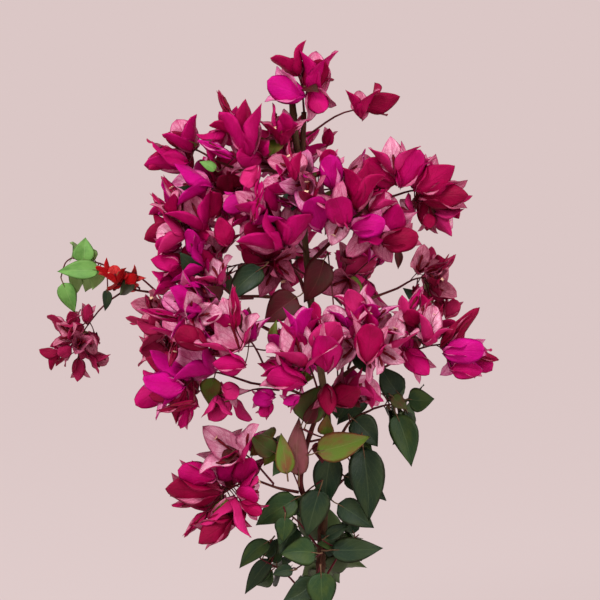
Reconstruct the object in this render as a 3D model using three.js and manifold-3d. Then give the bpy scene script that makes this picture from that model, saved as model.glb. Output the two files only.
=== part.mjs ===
// A young bougainvillea: one upright leafy stem, a second flowering shoot, side boughs, and
// masses of three-bracted blooms and of leaves that grow on short shoots.
// Millimetres, +Z up, +X to the right. The origin is the centre of the flat cut at ground level.

import * as THREE from 'three';
import { mergeVertices } from 'three/addons/utils/BufferGeometryUtils.js';
import Module from 'manifold-3d';

const wasm = await Module();
wasm.setup();

// ---- Driving dimensions -------------------------------------------------------------------

const GAP = 0.3;                 // clear distance between a shoot and what carries it
const SPACE_MARGIN = 0.2;        // each mass stays this far inside its own space
const CLEARANCE = 1.2;           // leaves and twigs keep this far from other limbs
const PROBE_STEP = 2.5;          // spacing of the probe points along a limb

const MAIN_SIDES = 10;
const BOUGH_SIDES = 6;
const TWIG_SIDES = 3;
const MAIN_STEPS = 20;
const BOUGH_STEPS = 3;           // straight stretches between two points of a bough's way
const MAIN_EASE = 1.35;          // crowds the main stem's rings towards its foot

const FLARE_RADIUS = 4;          // how far the root flare stands out at the ground
const FLARE_HEIGHT = 11;         // height in which the flare dies away

const SHOOT_RADII = [1.3, 0.9];  // the stem of a mass, at its root and at its end
const SHOOT_STEPS = 3;
const BLOOM_SHOOT = 1;           // how much of the way to a mass's middle its stem runs
const LEAF_SHOOT = 1.2;
const SHOOT_BOW = 0.1;           // rise of its middle, as a share of its length
const TWIG_RADII = [0.7, 0.5];
const TWIG_SPREAD = 0.6;         // how far from its shoot's end the first twig leaves, over the reach
const FIRST_TWIG = 0.3;          // least share of the shoot that stays bare
const TWIG_LENGTH = [0.05, 0.5]; // length of a twig over the reach
const TWIG_LEAN = 0.25;          // least cosine between a twig and the axis of its bloom
const TWIG_SINK = 0.5;           // how far a twig runs on into its bloom

const BRACTS = 3;                // bracts round one bloom
const BRACT_CURL = 0.12;         // how far a bract's tip turns out, as a share of its length
const BRACT_NOTCH = 0.66;        // where two bracts part, as a share of their length
const BLOOM_THICKNESS = 2.4;     // at a bloom's middle
const BRACT_OPEN = [0.38, 0.66];  // angle between a bract and its bloom's axis, radians
const WIDE_OPEN = [0.6, 0.95];   // the same where blooms face outwards
const LEAF = { width: 0.66, foot: 0.3, widest: 0.42, cup: 0.08, curl: -0.1 };
const LEAF_THICKNESS = 1.1;
const BRACT_SIZE = [0.86, 1.12]; // range of sizes round a mass's own bract length
const LEAF_OPEN = [0.8, 1.4];    // angle between a leaf and its shoot, radians
const LEAF_SIZE = [0.85, 1.15];
const LEAF_DROOP = 0.5;
const LEAF_START = 0.3;          // where on its shoot the first leaf stands
const LEAF_UP = 0.6;             // how much a leaf faces up, over how much it faces outwards
const LEAF_TWIST = 0.4;
const LEAF_SWING = 1.2;          // most that a leaf is turned from its regular place, radians
const AXIS_JITTER = 0.6;
const AXIS_RISE = 0.25;          // how much more than their twigs blooms point upwards
const PLACE_JITTER = [0.5, 2];   // how far a twig strays from its regular way, first to last try
const CROWN_AXIS = [0, 12];      // x and y of the upright line that the crown turns away from
const CROWN_DEPTH = 6;           // how much more the crown faces front and back than sideways
const BLOOM_TRIES = 500;
const LEAF_TRIES = 40;
const GOLDEN_ANGLE = Math.PI * (3 - Math.sqrt(5));
const CURVE_TENSION = 0.5;
const SAME_POINT = 1e-5;         // corners this near to each other are one
const UP = new THREE.Vector3(0, 0, 1);

// Colours and surfaces of the plain model.
const KINDS = {
  stem: { color: 0x5a3a2c, roughness: 0.8 },
  magenta: { color: 0xb10e66, roughness: 0.6 },
  crimson: { color: 0x8c0b42, roughness: 0.6 },
  rose: { color: 0xcb6e92, roughness: 0.6 },
  dull: { color: 0xa04468, roughness: 0.7 },
  red: { color: 0xb01420, roughness: 0.6 },
  green: { color: 0x2f4a2c, roughness: 0.55 },
  bronze: { color: 0x5a5a34, roughness: 0.55 },
  light: { color: 0x6c9a58, roughness: 0.6 },
};

// Limbs: radii at root and tip, then the way they take. A bough leaves its parent at a place
// counted in the points of the parent's way, where a bough's own root is point 0.
const END = 99;
const LIMBS = [
  { name: 'main_stem', radii: [5.2, 2.6], way: [[0, 0, 0], [2, 0, 50], [4, 0, 100], [7, 0, 160],
    [10, 3, 210], [13, 6, 269], [6, 10, 330], [-3, 12, 390], [-9, 10, 450], [-13, 6, 510],
    [-11, 0, 588]] },
  { name: 'front_stem', parent: 'main_stem', at: 3.4, radii: [3, 1.4], way: [[-14, -24, 216],
    [-9, -36, 256], [3, -43, 290], [22, -50, 322], [44, -56, 338], [66, -60, 336]] },
  { name: 'bough_low_left', parent: 'front_stem', at: 0.9, radii: [1.6, 1.1],
    way: [[-36, -33, 216], [-56, -40, 224]] },
  { name: 'bough_mid_left', parent: 'front_stem', at: 3.2, radii: [1.6, 1.1],
    way: [[-24, -52, 313], [-62, -54, 320]] },
  { name: 'bough_left', parent: 'main_stem', at: 7, radii: [2.2, 1.3],
    way: [[-38, 4, 402], [-80, -14, 404]] },
  { name: 'bough_far_left', parent: 'main_stem', at: 6.2, radii: [2, 1.1],
    way: [[-30, 36, 360], [-80, 76, 384], [-140, 104, 402], [-200, 116, 412]] },
  { name: 'bough_up_left', parent: 'main_stem', at: 8.3, radii: [2, 1.2],
    way: [[-44, 2, 486], [-92, -16, 498]] },
  { name: 'bough_top_left', parent: 'main_stem', at: 8.9, radii: [1.8, 1.1],
    way: [[-38, 0, 528], [-68, -6, 528], [-98, -10, 538]] },
  { name: 'bough_right_up', parent: 'main_stem', at: 7.8, radii: [2, 1.2],
    way: [[16, -8, 458], [42, -24, 484], [72, -34, 500]] },
  { name: 'bough_right_back', parent: 'main_stem', at: 6.6, radii: [1.9, 1.2],
    way: [[36, 38, 392], [86, 60, 412]] },
  { name: 'bough_leaf_right', parent: 'main_stem', at: 4.6, radii: [1.7, 1.1],
    way: [[34, 10, 276], [58, 12, 290]] },
  { name: 'bough_back_high', parent: 'main_stem', at: 8.1, radii: [2, 1.2],
    way: [[-16, 32, 480], [-26, 56, 502]] },
  { name: 'bough_back_mid', parent: 'main_stem', at: 7.1, radii: [2, 1.2],
    way: [[-14, 38, 420], [-24, 62, 434]] },
];

// Masses of blooms: kind, limb and place on it, middle and reach of the mass's space, blooms,
// bract length, how far blooms face outwards (below 0: along the crown's surface), seed.
const BLOOM_MASSES = [
  ['top', 'magenta', 'main_stem', END, [-14, -6, 617], 48, 4, 46, -0.6, 141],
  ['top_right', 'magenta', 'main_stem', 9.7, [57, -10, 592], 38, 1, 44, -0.6, 405],
  ['upper_mid', 'magenta', 'main_stem', 9.4, [-40, -16, 564], 42, 3, 36, -0.7, 198],
  ['upper_left', 'magenta', 'bough_top_left', 1.8, [-79, -24, 568], 48, 5, 42, -0.7, 651],
  ['upper_left_tip', 'crimson', 'bough_top_left', END, [-138, -8, 552], 44, 4, 38, -0.6, 285],
  ['left_high', 'magenta', 'bough_up_left', END, [-132, -26, 488], 54, 6, 41, -0.7, 154],
  ['left_mid', 'magenta', 'bough_left', END, [-116, -34, 424], 50, 6, 41, -0.7, 341],
  ['left_front', 'magenta', 'bough_left', 1.6, [-124, -64, 378], 54, 6, 43, -0.7, 268],
  ['left_front_large', 'magenta', 'bough_mid_left', 1.5, [-72, -88, 374], 52, 4, 45, -0.6, 322],
  ['left_low', 'magenta', 'bough_mid_left', END, [-134, -58, 327], 54, 6, 44, -0.7, 282],
  ['left_low_inner', 'rose', 'bough_mid_left', 1.3, [-80, -52, 306], 44, 3, 34, 0.2, 330],
  ['left_back', 'dull', 'bough_far_left', 3, [-158, 38, 372], 46, 5, 36, -0.5, 413],
  ['centre_left', 'magenta', 'main_stem', 8, [-52, -62, 482], 52, 6, 42, -0.7, 443],
  ['centre_high', 'magenta', 'main_stem', 8.7, [-12, -62, 512], 48, 4, 39, -0.7, 382],
  ['centre_right', 'magenta', 'bough_right_up', 1.2, [30, -66, 498], 52, 6, 43, -0.7, 117],
  ['inner_left', 'crimson', 'main_stem', 7.6, [-50, -22, 438], 44, 4, 36, -0.3, 281],
  ['inner_right', 'dull', 'main_stem', 7.3, [38, 0, 424], 42, 3, 33, -0.3, 585],
  ['right_high', 'magenta', 'bough_right_up', 2.6, [78, -34, 538], 46, 5, 40, -0.7, 464],
  ['right_tip', 'crimson', 'bough_right_up', END, [121, -38, 504], 47, 5, 42, -0.7, 720],
  ['right_mid', 'magenta', 'bough_right_up', 1.9, [68, -58, 464], 48, 5, 42, -0.6, 273],
  ['right_back', 'dull', 'bough_right_back', END, [122, 62, 424], 48, 6, 33, -0.5, 479],
  ['centre_front', 'magenta', 'front_stem', 3.3, [-14, -90, 350], 56, 6, 47, -0.7, 654],
  ['right_front', 'rose', 'front_stem', 4.5, [48, -84, 370], 56, 6, 41, 0.2, 180],
  ['right_low_inner', 'magenta', 'front_stem', 3.7, [27, -60, 306], 42, 3, 38, -0.5, 483],
  ['right_low', 'magenta', 'front_stem', 5.5, [100, -62, 368], 50, 5, 42, -0.7, 477],
  ['right_low_tip', 'magenta', 'front_stem', END, [142, -56, 358], 46, 4, 42, -0.8, 1288],
  ['low_left_high', 'rose', 'bough_low_left', 1.3, [-86, -52, 260], 48, 4, 37, 0.1, 196],
  ['low_left', 'magenta', 'bough_low_left', END, [-98, -48, 206], 54, 6, 43, -0.7, 784],
  ['far_left_red', 'red', 'bough_far_left', 3.5, [-206, 108, 432], 36, 3, 25, -0.3, 1297],
  ['far_left', 'dull', 'bough_far_left', END, [-256, 118, 356], 46, 6, 28, -0.5, 213],
  ['back_top', 'magenta', 'main_stem', 9, [-24, 54, 550], 56, 6, 41, -0.5, 699],
  ['back_left_high', 'magenta', 'bough_back_high', 1.6, [-96, 54, 512], 56, 6, 41, -0.5, 219],
  ['back_right_high', 'magenta', 'bough_back_high', END, [46, 60, 512], 56, 6, 41, -0.5, 660],
  ['back_left_low', 'magenta', 'bough_back_mid', 1.8, [-104, 50, 430], 54, 6, 41, -0.5, 304],
  ['back_mid', 'rose', 'bough_back_mid', END, [-28, 98, 452], 58, 6, 42, 0.2, 316],
  ['back_right_low', 'magenta', 'bough_right_back', 1.3, [54, 84, 430], 50, 6, 40, -0.5, 106],
  ['back_low', 'magenta', 'main_stem', 6.1, [-14, 72, 342], 48, 5, 40, -0.5, 537],
];

// Masses of leaves: kind, limb and place on it, middle and reach of the mass's space, leaves,
// leaf length, seed.
const LEAF_MASSES = [
  ['leaves_right', 'green', 'bough_leaf_right', END, [86, 6, 292], 54, 7, 42, 603],
  ['leaves_right_mid', 'green', 'main_stem', 3.9, [42, -12, 228], 56, 8, 54, 401],
  ['leaves_front_left', 'bronze', 'front_stem', 1.5, [-40, -50, 262], 42, 5, 42, 1277],
  ['leaves_front', 'bronze', 'front_stem', 2.2, [22, -54, 262], 42, 5, 44, 577],
  ['leaves_left', 'green', 'main_stem', 2.9, [-32, -26, 190], 52, 7, 48, 153],
  ['leaves_low_left', 'green', 'main_stem', 1.9, [-46, -12, 136], 52, 6, 40, 1445],
  ['leaves_low_right', 'green', 'main_stem', 2.4, [38, -10, 160], 50, 5, 46, 834],
  ['leaves_foot', 'green', 'main_stem', 0.9, [-2, -20, 88], 54, 7, 44, 643],
  ['leaves_back', 'green', 'main_stem', 2.1, [8, 42, 150], 54, 7, 48, 101],
  ['far_left_leaves', 'light', 'bough_far_left', 3.8, [-250, 122, 440], 52, 6, 47, 346],
];

// ---- Chance, the same on every run, and directions ----------------------------------------

function chance(seed) {
  let state = seed * 7919;
  return () => {
    state = (state + 0x6d2b79f5) | 0;
    let t = Math.imul(state ^ (state >>> 15), 1 | state);
    t = (t + Math.imul(t ^ (t >>> 7), 61 | t)) ^ t;
    return ((t ^ (t >>> 14)) >>> 0) / 4294967296;
  };
}

function between([low, high], share) {
  return low + (high - low) * share;
}

function ballDirection(z, turn) {
  const flat = Math.sqrt(1 - z * z);
  return new THREE.Vector3(flat * Math.cos(turn), flat * Math.sin(turn), z);
}

function anyDirection(random) {
  const z = 2 * random() - 1;
  return ballDirection(z, 2 * Math.PI * random());
}

// The i-th of n directions spread evenly over a ball.
function spreadDirection(i, n, turn) {
  return ballDirection(1 - (2 * i + 1) / n, turn + i * GOLDEN_ANGLE);
}

// The direction square to the given one that is nearest to the wanted one.
function squareTo(direction, wanted) {
  const side = wanted.clone().addScaledVector(direction, -wanted.dot(direction));
  if (side.length() < SAME_POINT) side.set(direction.z, 0, -direction.x);
  return side.normalize();
}

// The way a place in the crown faces.
function outward(centre) {
  const depth = (centre.y - CROWN_AXIS[1]) * CROWN_DEPTH;
  return new THREE.Vector3(centre.x - CROWN_AXIS[0], depth, 0).normalize();
}

function makeCurve(points) {
  return new THREE.CatmullRomCurve3(points, false, 'catmullrom', CURVE_TENSION);
}

// ---- Closed shapes ------------------------------------------------------------------------

function bare(geometry) {
  geometry.deleteAttribute('normal');
  geometry.deleteAttribute('uv');
  return mergeVertices(geometry, SAME_POINT);
}

// A limb: a closed cylinder laid along a curve, with its radius given along the way.
function limbShape(curve, radiusAt, sides, steps, ease = 1) {
  const geometry = bare(new THREE.CylinderGeometry(1, 1, 1, sides, steps));
  const place = geometry.getAttribute('position');
  const chord = curve.getPoint(1).sub(curve.getPoint(0)).normalize();
  const sideways = squareTo(chord, new THREE.Vector3(1, 0, 0));
  for (let i = 0; i < place.count; i += 1) {
    const t = Math.pow(place.getY(i) + 0.5, ease);
    const tangent = curve.getTangent(t);
    const across = squareTo(tangent, sideways);
    const other = new THREE.Vector3().crossVectors(tangent, across);
    const point = curve.getPoint(t);
    point.addScaledVector(across, place.getZ(i) * radiusAt(t));
    point.addScaledVector(other, place.getX(i) * radiusAt(t));
    place.setXYZ(i, point.x, point.y, point.z);
  }
  return geometry;
}

// A leaf and a bloom are each a fan: a middle, the corners of the outline round it in order,
// and the way its upper side faces, as long as half its thickness.
function makeLeaf(base, direction, inner, length) {
  const normal = squareTo(direction, inner);
  const side = new THREE.Vector3().crossVectors(normal, direction);
  const at = (along, across) => {
    const halfWidth = across * LEAF.width / 2;
    const lift = LEAF.cup * 2 * Math.abs(halfWidth) + LEAF.curl * along * along;
    const point = base.clone().addScaledVector(direction, along * length);
    return point.addScaledVector(side, halfWidth * length).addScaledVector(normal, lift * length);
  };
  const outline = [[1, 0], [LEAF.widest, 1], [0, LEAF.foot], [0, -LEAF.foot], [LEAF.widest, -1]];
  const corners = outline.map(([along, across]) => at(along, across));
  return { middle: at(LEAF.widest, 0), corners, pole: normal.multiplyScalar(LEAF_THICKNESS / 2) };
}

// A bloom's corners are the tips of its bracts and the notches between them.
function makeBloom(base, axis, first, length, open) {
  const corners = [];
  for (let k = 0; k < 2 * BRACTS; k += 1) {
    const around = first.clone().applyAxisAngle(axis, k * Math.PI / BRACTS);
    const isTip = k % 2 === 0;
    const reach = length * (isTip ? 1 : BRACT_NOTCH);
    const curl = length * (isTip ? BRACT_CURL : 0);
    const corner = base.clone().addScaledVector(axis, Math.cos(open) * reach);
    corners.push(corner.addScaledVector(around, Math.sin(open) * reach + curl));
  }
  return { middle: base, corners, pole: axis.clone().multiplyScalar(BLOOM_THICKNESS / 2) };
}

// A fan's closed shape: a ball flattened onto it.
function fanShape({ middle, corners, pole }) {
  const geometry = bare(new THREE.SphereGeometry(1, corners.length, 2));
  const place = geometry.getAttribute('position');
  for (let i = 0; i < place.count; i += 1) {
    const side = Math.round(place.getY(i));
    const turn = Math.atan2(place.getZ(i), -place.getX(i)) / (2 * Math.PI);
    const corner = (Math.round(turn * corners.length) + corners.length) % corners.length;
    const point = (side === 0 ? corners[corner] : middle).clone().addScaledVector(pole, side);
    place.setXYZ(i, point.x, point.y, point.z);
  }
  return geometry;
}

function facesOf({ middle, corners }) {
  const next = (i) => corners[(i + 1) % corners.length];
  return corners.map((corner, i) => new THREE.Triangle(middle, corner, next(i)));
}

function twigShape({ hub, base }) {
  const end = base.clone().addScaledVector(base.clone().sub(hub).normalize(), TWIG_SINK);
  return limbShape(makeCurve([hub, end]), (t) => between(TWIG_RADII, t), TWIG_SIDES, 1);
}

// ---- Joining ------------------------------------------------------------------------------

function toSolid(geometry) {
  const vertProperties = new Float32Array(geometry.getAttribute('position').array);
  const triVerts = new Uint32Array(geometry.getIndex().array);
  return new wasm.Manifold(new wasm.Mesh({ numProp: 3, vertProperties, triVerts }));
}

// Joins closed shapes into one body. Its largest piece is kept, so that a hollow sealed by the
// joining is filled and a loose scrap is dropped.
function joined(geometries) {
  let whole = toSolid(geometries[0]);
  for (const geometry of geometries.slice(1)) {
    whole = whole.add(toSolid(geometry));
  }
  const pieces = whole.decompose();
  pieces.sort((a, b) => b.volume() - a.volume());
  const mesh = pieces[0].getMesh();
  const geometry = new THREE.BufferGeometry();
  geometry.setAttribute('position', new THREE.BufferAttribute(mesh.vertProperties, mesh.numProp));
  geometry.setIndex(new THREE.BufferAttribute(mesh.triVerts, 1));
  return geometry;
}

// A named mesh whose own origin is at the given point.
function meshAt(name, kind, geometry, origin) {
  geometry.translate(-origin.x, -origin.y, -origin.z);
  geometry.computeVertexNormals();
  const mesh = new THREE.Mesh(geometry, new THREE.MeshStandardMaterial(KINDS[kind]));
  mesh.name = name;
  mesh.position.copy(origin);
  return mesh;
}

// ---- Limbs --------------------------------------------------------------------------------

// A limb as it is used to place things: its curve and its radius along it.
function makeLimb(name, points, radii) {
  return { name, curve: makeCurve(points), last: points.length - 1, radii };
}

// Where a shoot of the given radius starts that leaves a limb towards a target: GAP clear of
// the limb's side, or of its tip.
function rootOn(limb, at, target, radius) {
  const t = Math.min(at / limb.last, 1);
  const point = limb.curve.getPoint(t);
  const tangent = limb.curve.getTangent(t);
  const heading = target.clone().sub(point).normalize();
  const face = t < 1 ? squareTo(tangent, heading) : tangent;
  const tilt = Math.sqrt(Math.max(0, 1 - heading.dot(face) ** 2));
  const clear = (t < 1 ? between(limb.radii, t) : 0) + GAP + radius * tilt;
  return point.addScaledVector(face, clear);
}

// Probe points along a limb, each with the limb's radius there.
function probesOf(limb) {
  const count = Math.ceil(limb.curve.getLength() / PROBE_STEP);
  const probes = [];
  for (let i = 0; i <= count; i += 1) {
    const t = i / count;
    probes.push({ owner: limb.name, point: limb.curve.getPoint(t), radius: between(limb.radii, t) });
  }
  return probes;
}

const limbs = new Map();
for (const { name, parent, at, radii, way } of LIMBS) {
  const points = way.map((p) => new THREE.Vector3(...p));
  if (parent) points.unshift(rootOn(limbs.get(parent), at, points[0], radii[0]));
  limbs.set(name, makeLimb(name, points, radii));
}

function mainStemMesh(limb) {
  const height = limb.curve.getPoint(1).z;
  const flareAt = (t) => FLARE_RADIUS * Math.exp(-t * height / FLARE_HEIGHT);
  const radiusAt = (t) => between(limb.radii, t) + flareAt(t);
  const geometry = limbShape(limb.curve, radiusAt, MAIN_SIDES, MAIN_STEPS, MAIN_EASE);
  const place = geometry.getAttribute('position');
  const lowest = MAIN_SIDES + 1;   // the foot's ring and its middle, which lie level at the ground
  const byHeight = [...Array(place.count).keys()].sort((a, b) => place.getZ(a) - place.getZ(b));
  for (const i of byHeight.slice(0, lowest)) {
    place.setZ(i, 0);
  }
  return meshAt(limb.name, 'stem', geometry, new THREE.Vector3());
}

function boughMesh(limb) {
  const radiusAt = (t) => between(limb.radii, t);
  const geometry = limbShape(limb.curve, radiusAt, BOUGH_SIDES, BOUGH_STEPS * limb.last);
  return meshAt(limb.name, 'stem', geometry, limb.curve.getPoint(0));
}

// ---- Masses and their spaces --------------------------------------------------------------

function makeMass([name, kind, limbName, at, middle, reach, ...rest], share) {
  const centre = new THREE.Vector3(...middle);
  const root = rootOn(limbs.get(limbName), at, centre, SHOOT_RADII[0]);
  const end = root.clone().lerp(centre, share);
  const half = root.clone().lerp(end, 0.5);
  half.z += SHOOT_BOW * root.distanceTo(end);
  const shoot = makeLimb(name, [root, half, end], SHOOT_RADII);
  return { name, kind, centre, reach, rest, shoot };
}

const bloomMasses = BLOOM_MASSES.map((row) => makeMass(row, BLOOM_SHOOT));
const leafMasses = LEAF_MASSES.map((row) => makeMass(row, LEAF_SHOOT));
const masses = [...bloomMasses, ...leafMasses];
const allProbes = [...limbs.values(), ...masses.map((mass) => mass.shoot)].flatMap(probesOf);

// The walls between a mass and its neighbours, each where the reach of both is equally far.
function wallsOf(mass) {
  const walls = [];
  for (const other of masses) {
    const across = other.centre.clone().sub(mass.centre);
    const distance = across.length();
    if (other === mass || distance > mass.reach + other.reach) continue;
    const share = (distance ** 2 + mass.reach ** 2 - other.reach ** 2) / (2 * distance);
    walls.push({ normal: across.normalize(), limit: share - SPACE_MARGIN });
  }
  return walls;
}

function spaceOf(mass) {
  const near = (probe) => probe.owner !== mass.name && probe.point.distanceTo(mass.centre)
    < mass.reach + probe.radius + CLEARANCE;
  return { centre: mass.centre, reach: mass.reach, walls: wallsOf(mass), probes: allProbes.filter(near) };
}

function insideSpace(point, space) {
  const from = point.clone().sub(space.centre);
  if (point.z < SPACE_MARGIN || from.length() > space.reach) return false;
  return space.walls.every((wall) => from.dot(wall.normal) < wall.limit);
}

// Whether a straight line passes through any of the faces.
function pierces(start, end, faces) {
  const ray = new THREE.Ray(start, end.clone().sub(start).normalize());
  const target = new THREE.Vector3();
  return faces.some((face) => ray.intersectTriangle(face.a, face.b, face.c, false, target)
    && target.distanceTo(start) < end.distanceTo(start));
}

function cross(faces, others) {
  return faces.some(({ a, b, c }) => pierces(a, b, others) || pierces(b, c, others))
    || others.some(({ a, b, c }) => pierces(a, b, faces) || pierces(b, c, faces));
}

// A leaf or bloom fits where its corners lie in the space, no limb comes near its faces, and it
// passes through no leaf, bloom or twig that is there already.
function fanFits(fan, space, grown) {
  if (!fan.corners.every((corner) => insideSpace(corner, space))) return false;
  const faces = facesOf(fan);
  const nearest = new THREE.Vector3();
  for (const probe of space.probes) {
    const clear = probe.radius + CLEARANCE;
    for (const face of faces) {
      face.closestPointToPoint(probe.point, nearest);
      if (nearest.distanceTo(probe.point) < clear) return false;
    }
  }
  if (grown.twigs.some(({ hub, base }) => pierces(hub, base, faces))) return false;
  return grown.fans.every((other) => !cross(faces, facesOf(other)));
}

// A twig fits where it ends in the space and passes through no limb or blade.
function twigFits(hub, base, space, grown) {
  const line = new THREE.Line3(hub, base);
  const nearest = new THREE.Vector3();
  return insideSpace(base, space) && space.probes.every((probe) => {
    line.closestPointToPoint(probe.point, true, nearest);
    return nearest.distanceTo(probe.point) > probe.radius + CLEARANCE + TWIG_RADII[0];
  }) && grown.fans.every((fan) => !pierces(hub, base, facesOf(fan)));
}

// ---- What grows in a mass -----------------------------------------------------------------

function growBlooms(mass) {
  const [blooms, bractLength, facing, seed] = mass.rest;
  const random = chance(seed);
  const space = spaceOf(mass);
  const away = outward(mass.centre);
  const turn = 2 * Math.PI * random();
  const { curve } = mass.shoot;
  const firstTwig = Math.max(FIRST_TWIG, 1 - TWIG_SPREAD * mass.reach / curve.getLength());
  const grown = { fans: [], twigs: [{ hub: curve.getPoint(0), base: curve.getPoint(1) }] };
  for (let i = 0; i < blooms; i += 1) {
    const hub = curve.getPoint(between([firstTwig, 1], (i + 0.5) / blooms));
    for (let attempt = 0; attempt < BLOOM_TRIES; attempt += 1) {
      const stray = between(PLACE_JITTER, attempt / BLOOM_TRIES);
      const direction = anyDirection(random).multiplyScalar(stray);
      direction.add(spreadDirection(i, blooms, turn)).normalize();
      const axis = anyDirection(random).multiplyScalar(AXIS_JITTER).add(direction);
      axis.addScaledVector(UP, AXIS_RISE);
      axis.addScaledVector(away, facing < 0 ? facing * axis.dot(away) : facing).normalize();
      const length = bractLength * between(BRACT_SIZE, random());
      const open = between(facing > 0 ? WIDE_OPEN : BRACT_OPEN, random());
      const first = squareTo(axis, UP).applyAxisAngle(axis, 2 * Math.PI * random());
      const base = hub.clone().addScaledVector(direction, mass.reach * between(TWIG_LENGTH, random()));
      if (axis.dot(direction) < TWIG_LEAN || !twigFits(hub, base, space, grown)) continue;
      const bloom = makeBloom(base, axis, first, length, open);
      if (!fanFits(bloom, space, grown)) continue;
      grown.fans.push(bloom);
      grown.twigs.push({ hub, base });
      break;
    }
  }
  return [...grown.twigs.slice(1).map(twigShape), ...grown.fans.map(fanShape)];
}

function growLeaves(mass) {
  const [leaves, leafLength, seed] = mass.rest;
  const random = chance(seed);
  const space = spaceOf(mass);
  const away = outward(mass.centre);
  const turn = 2 * Math.PI * random();
  const grown = { fans: [], twigs: [] };
  for (let i = 0; i < leaves; i += 1) {
    const t = between([LEAF_START, 1], (i + 0.5) / leaves);
    const base = mass.shoot.curve.getPoint(t);
    const along = mass.shoot.curve.getTangent(t);
    const first = squareTo(along, UP);
    for (let attempt = 0; attempt < LEAF_TRIES; attempt += 1) {
      const swing = LEAF_SWING * (2 * random() - 1);
      const open = between(LEAF_OPEN, random());
      const length = leafLength * between(LEAF_SIZE, random());
      const around = first.clone().applyAxisAngle(along, turn + i * GOLDEN_ANGLE + swing);
      const direction = along.clone().multiplyScalar(Math.cos(open));
      direction.addScaledVector(around, Math.sin(open)).addScaledVector(UP, -LEAF_DROOP).normalize();
      const inner = anyDirection(random).multiplyScalar(LEAF_TWIST).add(away);
      const leaf = makeLeaf(base, direction, inner.addScaledVector(UP, LEAF_UP), length);
      if (fanFits(leaf, space, grown)) {
        grown.fans.push(leaf);
        break;
      }
    }
  }
  return grown.fans.map(fanShape);
}

function massMesh(mass, grown) {
  const radiusAt = (t) => between(SHOOT_RADII, t);
  const stem = limbShape(mass.shoot.curve, radiusAt, TWIG_SIDES, SHOOT_STEPS);
  return meshAt(mass.name, mass.kind, joined([stem, ...grown]), mass.centre);
}

// ---- The whole plant ----------------------------------------------------------------------

const stems = new THREE.Group();
for (const limb of limbs.values()) {
  stems.add(limb.name === 'main_stem' ? mainStemMesh(limb) : boughMesh(limb));
}

const crown = new THREE.Group();
for (const mass of bloomMasses) {
  crown.add(massMesh(mass, growBlooms(mass)));
}
for (const mass of leafMasses) {
  crown.add(massMesh(mass, growLeaves(mass)));
}

const group = new THREE.Group();
group.add(stems, crown);
export default group;
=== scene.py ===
"""A young bougainvillea in bloom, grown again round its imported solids.

Lengths are millimetres in the frame's axes until a mesh is made. The limbs and masses and the
rule by which blooms and leaves grow are those of the solids. Here each mass is carried on to
finer twigs, thin bracts, flowers and leaves within the same reach.
"""

import math

import bpy
import numpy as np
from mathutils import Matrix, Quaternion, Vector
from mathutils.geometry import closest_point_on_tri, intersect_ray_tri
from mathutils.noise import noise


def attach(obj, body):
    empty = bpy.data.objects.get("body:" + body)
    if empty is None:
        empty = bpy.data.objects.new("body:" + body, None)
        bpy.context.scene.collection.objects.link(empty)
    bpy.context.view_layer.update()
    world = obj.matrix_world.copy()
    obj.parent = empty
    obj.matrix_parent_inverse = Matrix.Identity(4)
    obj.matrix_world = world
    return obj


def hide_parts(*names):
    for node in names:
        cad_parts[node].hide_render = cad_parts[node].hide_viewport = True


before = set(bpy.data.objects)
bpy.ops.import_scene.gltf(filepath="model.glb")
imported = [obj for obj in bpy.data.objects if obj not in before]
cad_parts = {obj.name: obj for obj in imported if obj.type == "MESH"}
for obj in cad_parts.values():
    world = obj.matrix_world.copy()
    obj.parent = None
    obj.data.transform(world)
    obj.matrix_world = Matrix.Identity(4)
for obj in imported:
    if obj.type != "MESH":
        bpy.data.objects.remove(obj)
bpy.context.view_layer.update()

MM = 0.001
UP = Vector((0, 0, 1))

# ---- The solids' sizes, limbs and masses --------------------------------------------------

GAP = 0.3
SPACE_MARGIN = 0.2
CLEARANCE = 1.2
PROBE_STEP = 2.5
SHOOT_RADII = (1.3, 0.9)
BLOOM_SHOOT = 1
LEAF_SHOOT = 1.2
SHOOT_BOW = 0.1
TWIG_RADIUS = 0.7
TWIG_SPREAD = 0.6
FIRST_TWIG = 0.3
TWIG_LENGTH = (0.05, 0.5)
TWIG_LEAN = 0.25
BRACTS = 3
BRACT_CURL = 0.12
BRACT_NOTCH = 0.66
BRACT_OPEN = (0.38, 0.66)
WIDE_OPEN = (0.6, 0.95)
BRACT_SIZE = (0.86, 1.12)
LEAF_WIDTH = 0.66
LEAF_FOOT = 0.3
LEAF_WIDEST = 0.42
LEAF_CUP = 0.08
LEAF_CURL = -0.1
LEAF_FULLNESS = 1.12             # thin leaves are this much wider than the solids' blades
LEAF_OPEN = (0.8, 1.4)
LEAF_SIZE = (0.85, 1.15)
LEAF_DROOP = 0.5
LEAF_START = 0.3
LEAF_UP = 0.6
LEAF_TWIST = 0.4
LEAF_SWING = 1.2
AXIS_JITTER = 0.6
AXIS_RISE = 0.25
PLACE_JITTER = (0.5, 2)
CROWN_AXIS = (0, 12)
CROWN_DEPTH = 6
BLOOM_TRIES = 500
LEAF_TRIES = 40
GOLDEN_ANGLE = math.pi * (3 - math.sqrt(5))
FLARE_RADIUS = 4
FLARE_HEIGHT = 11
END = 99

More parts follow.
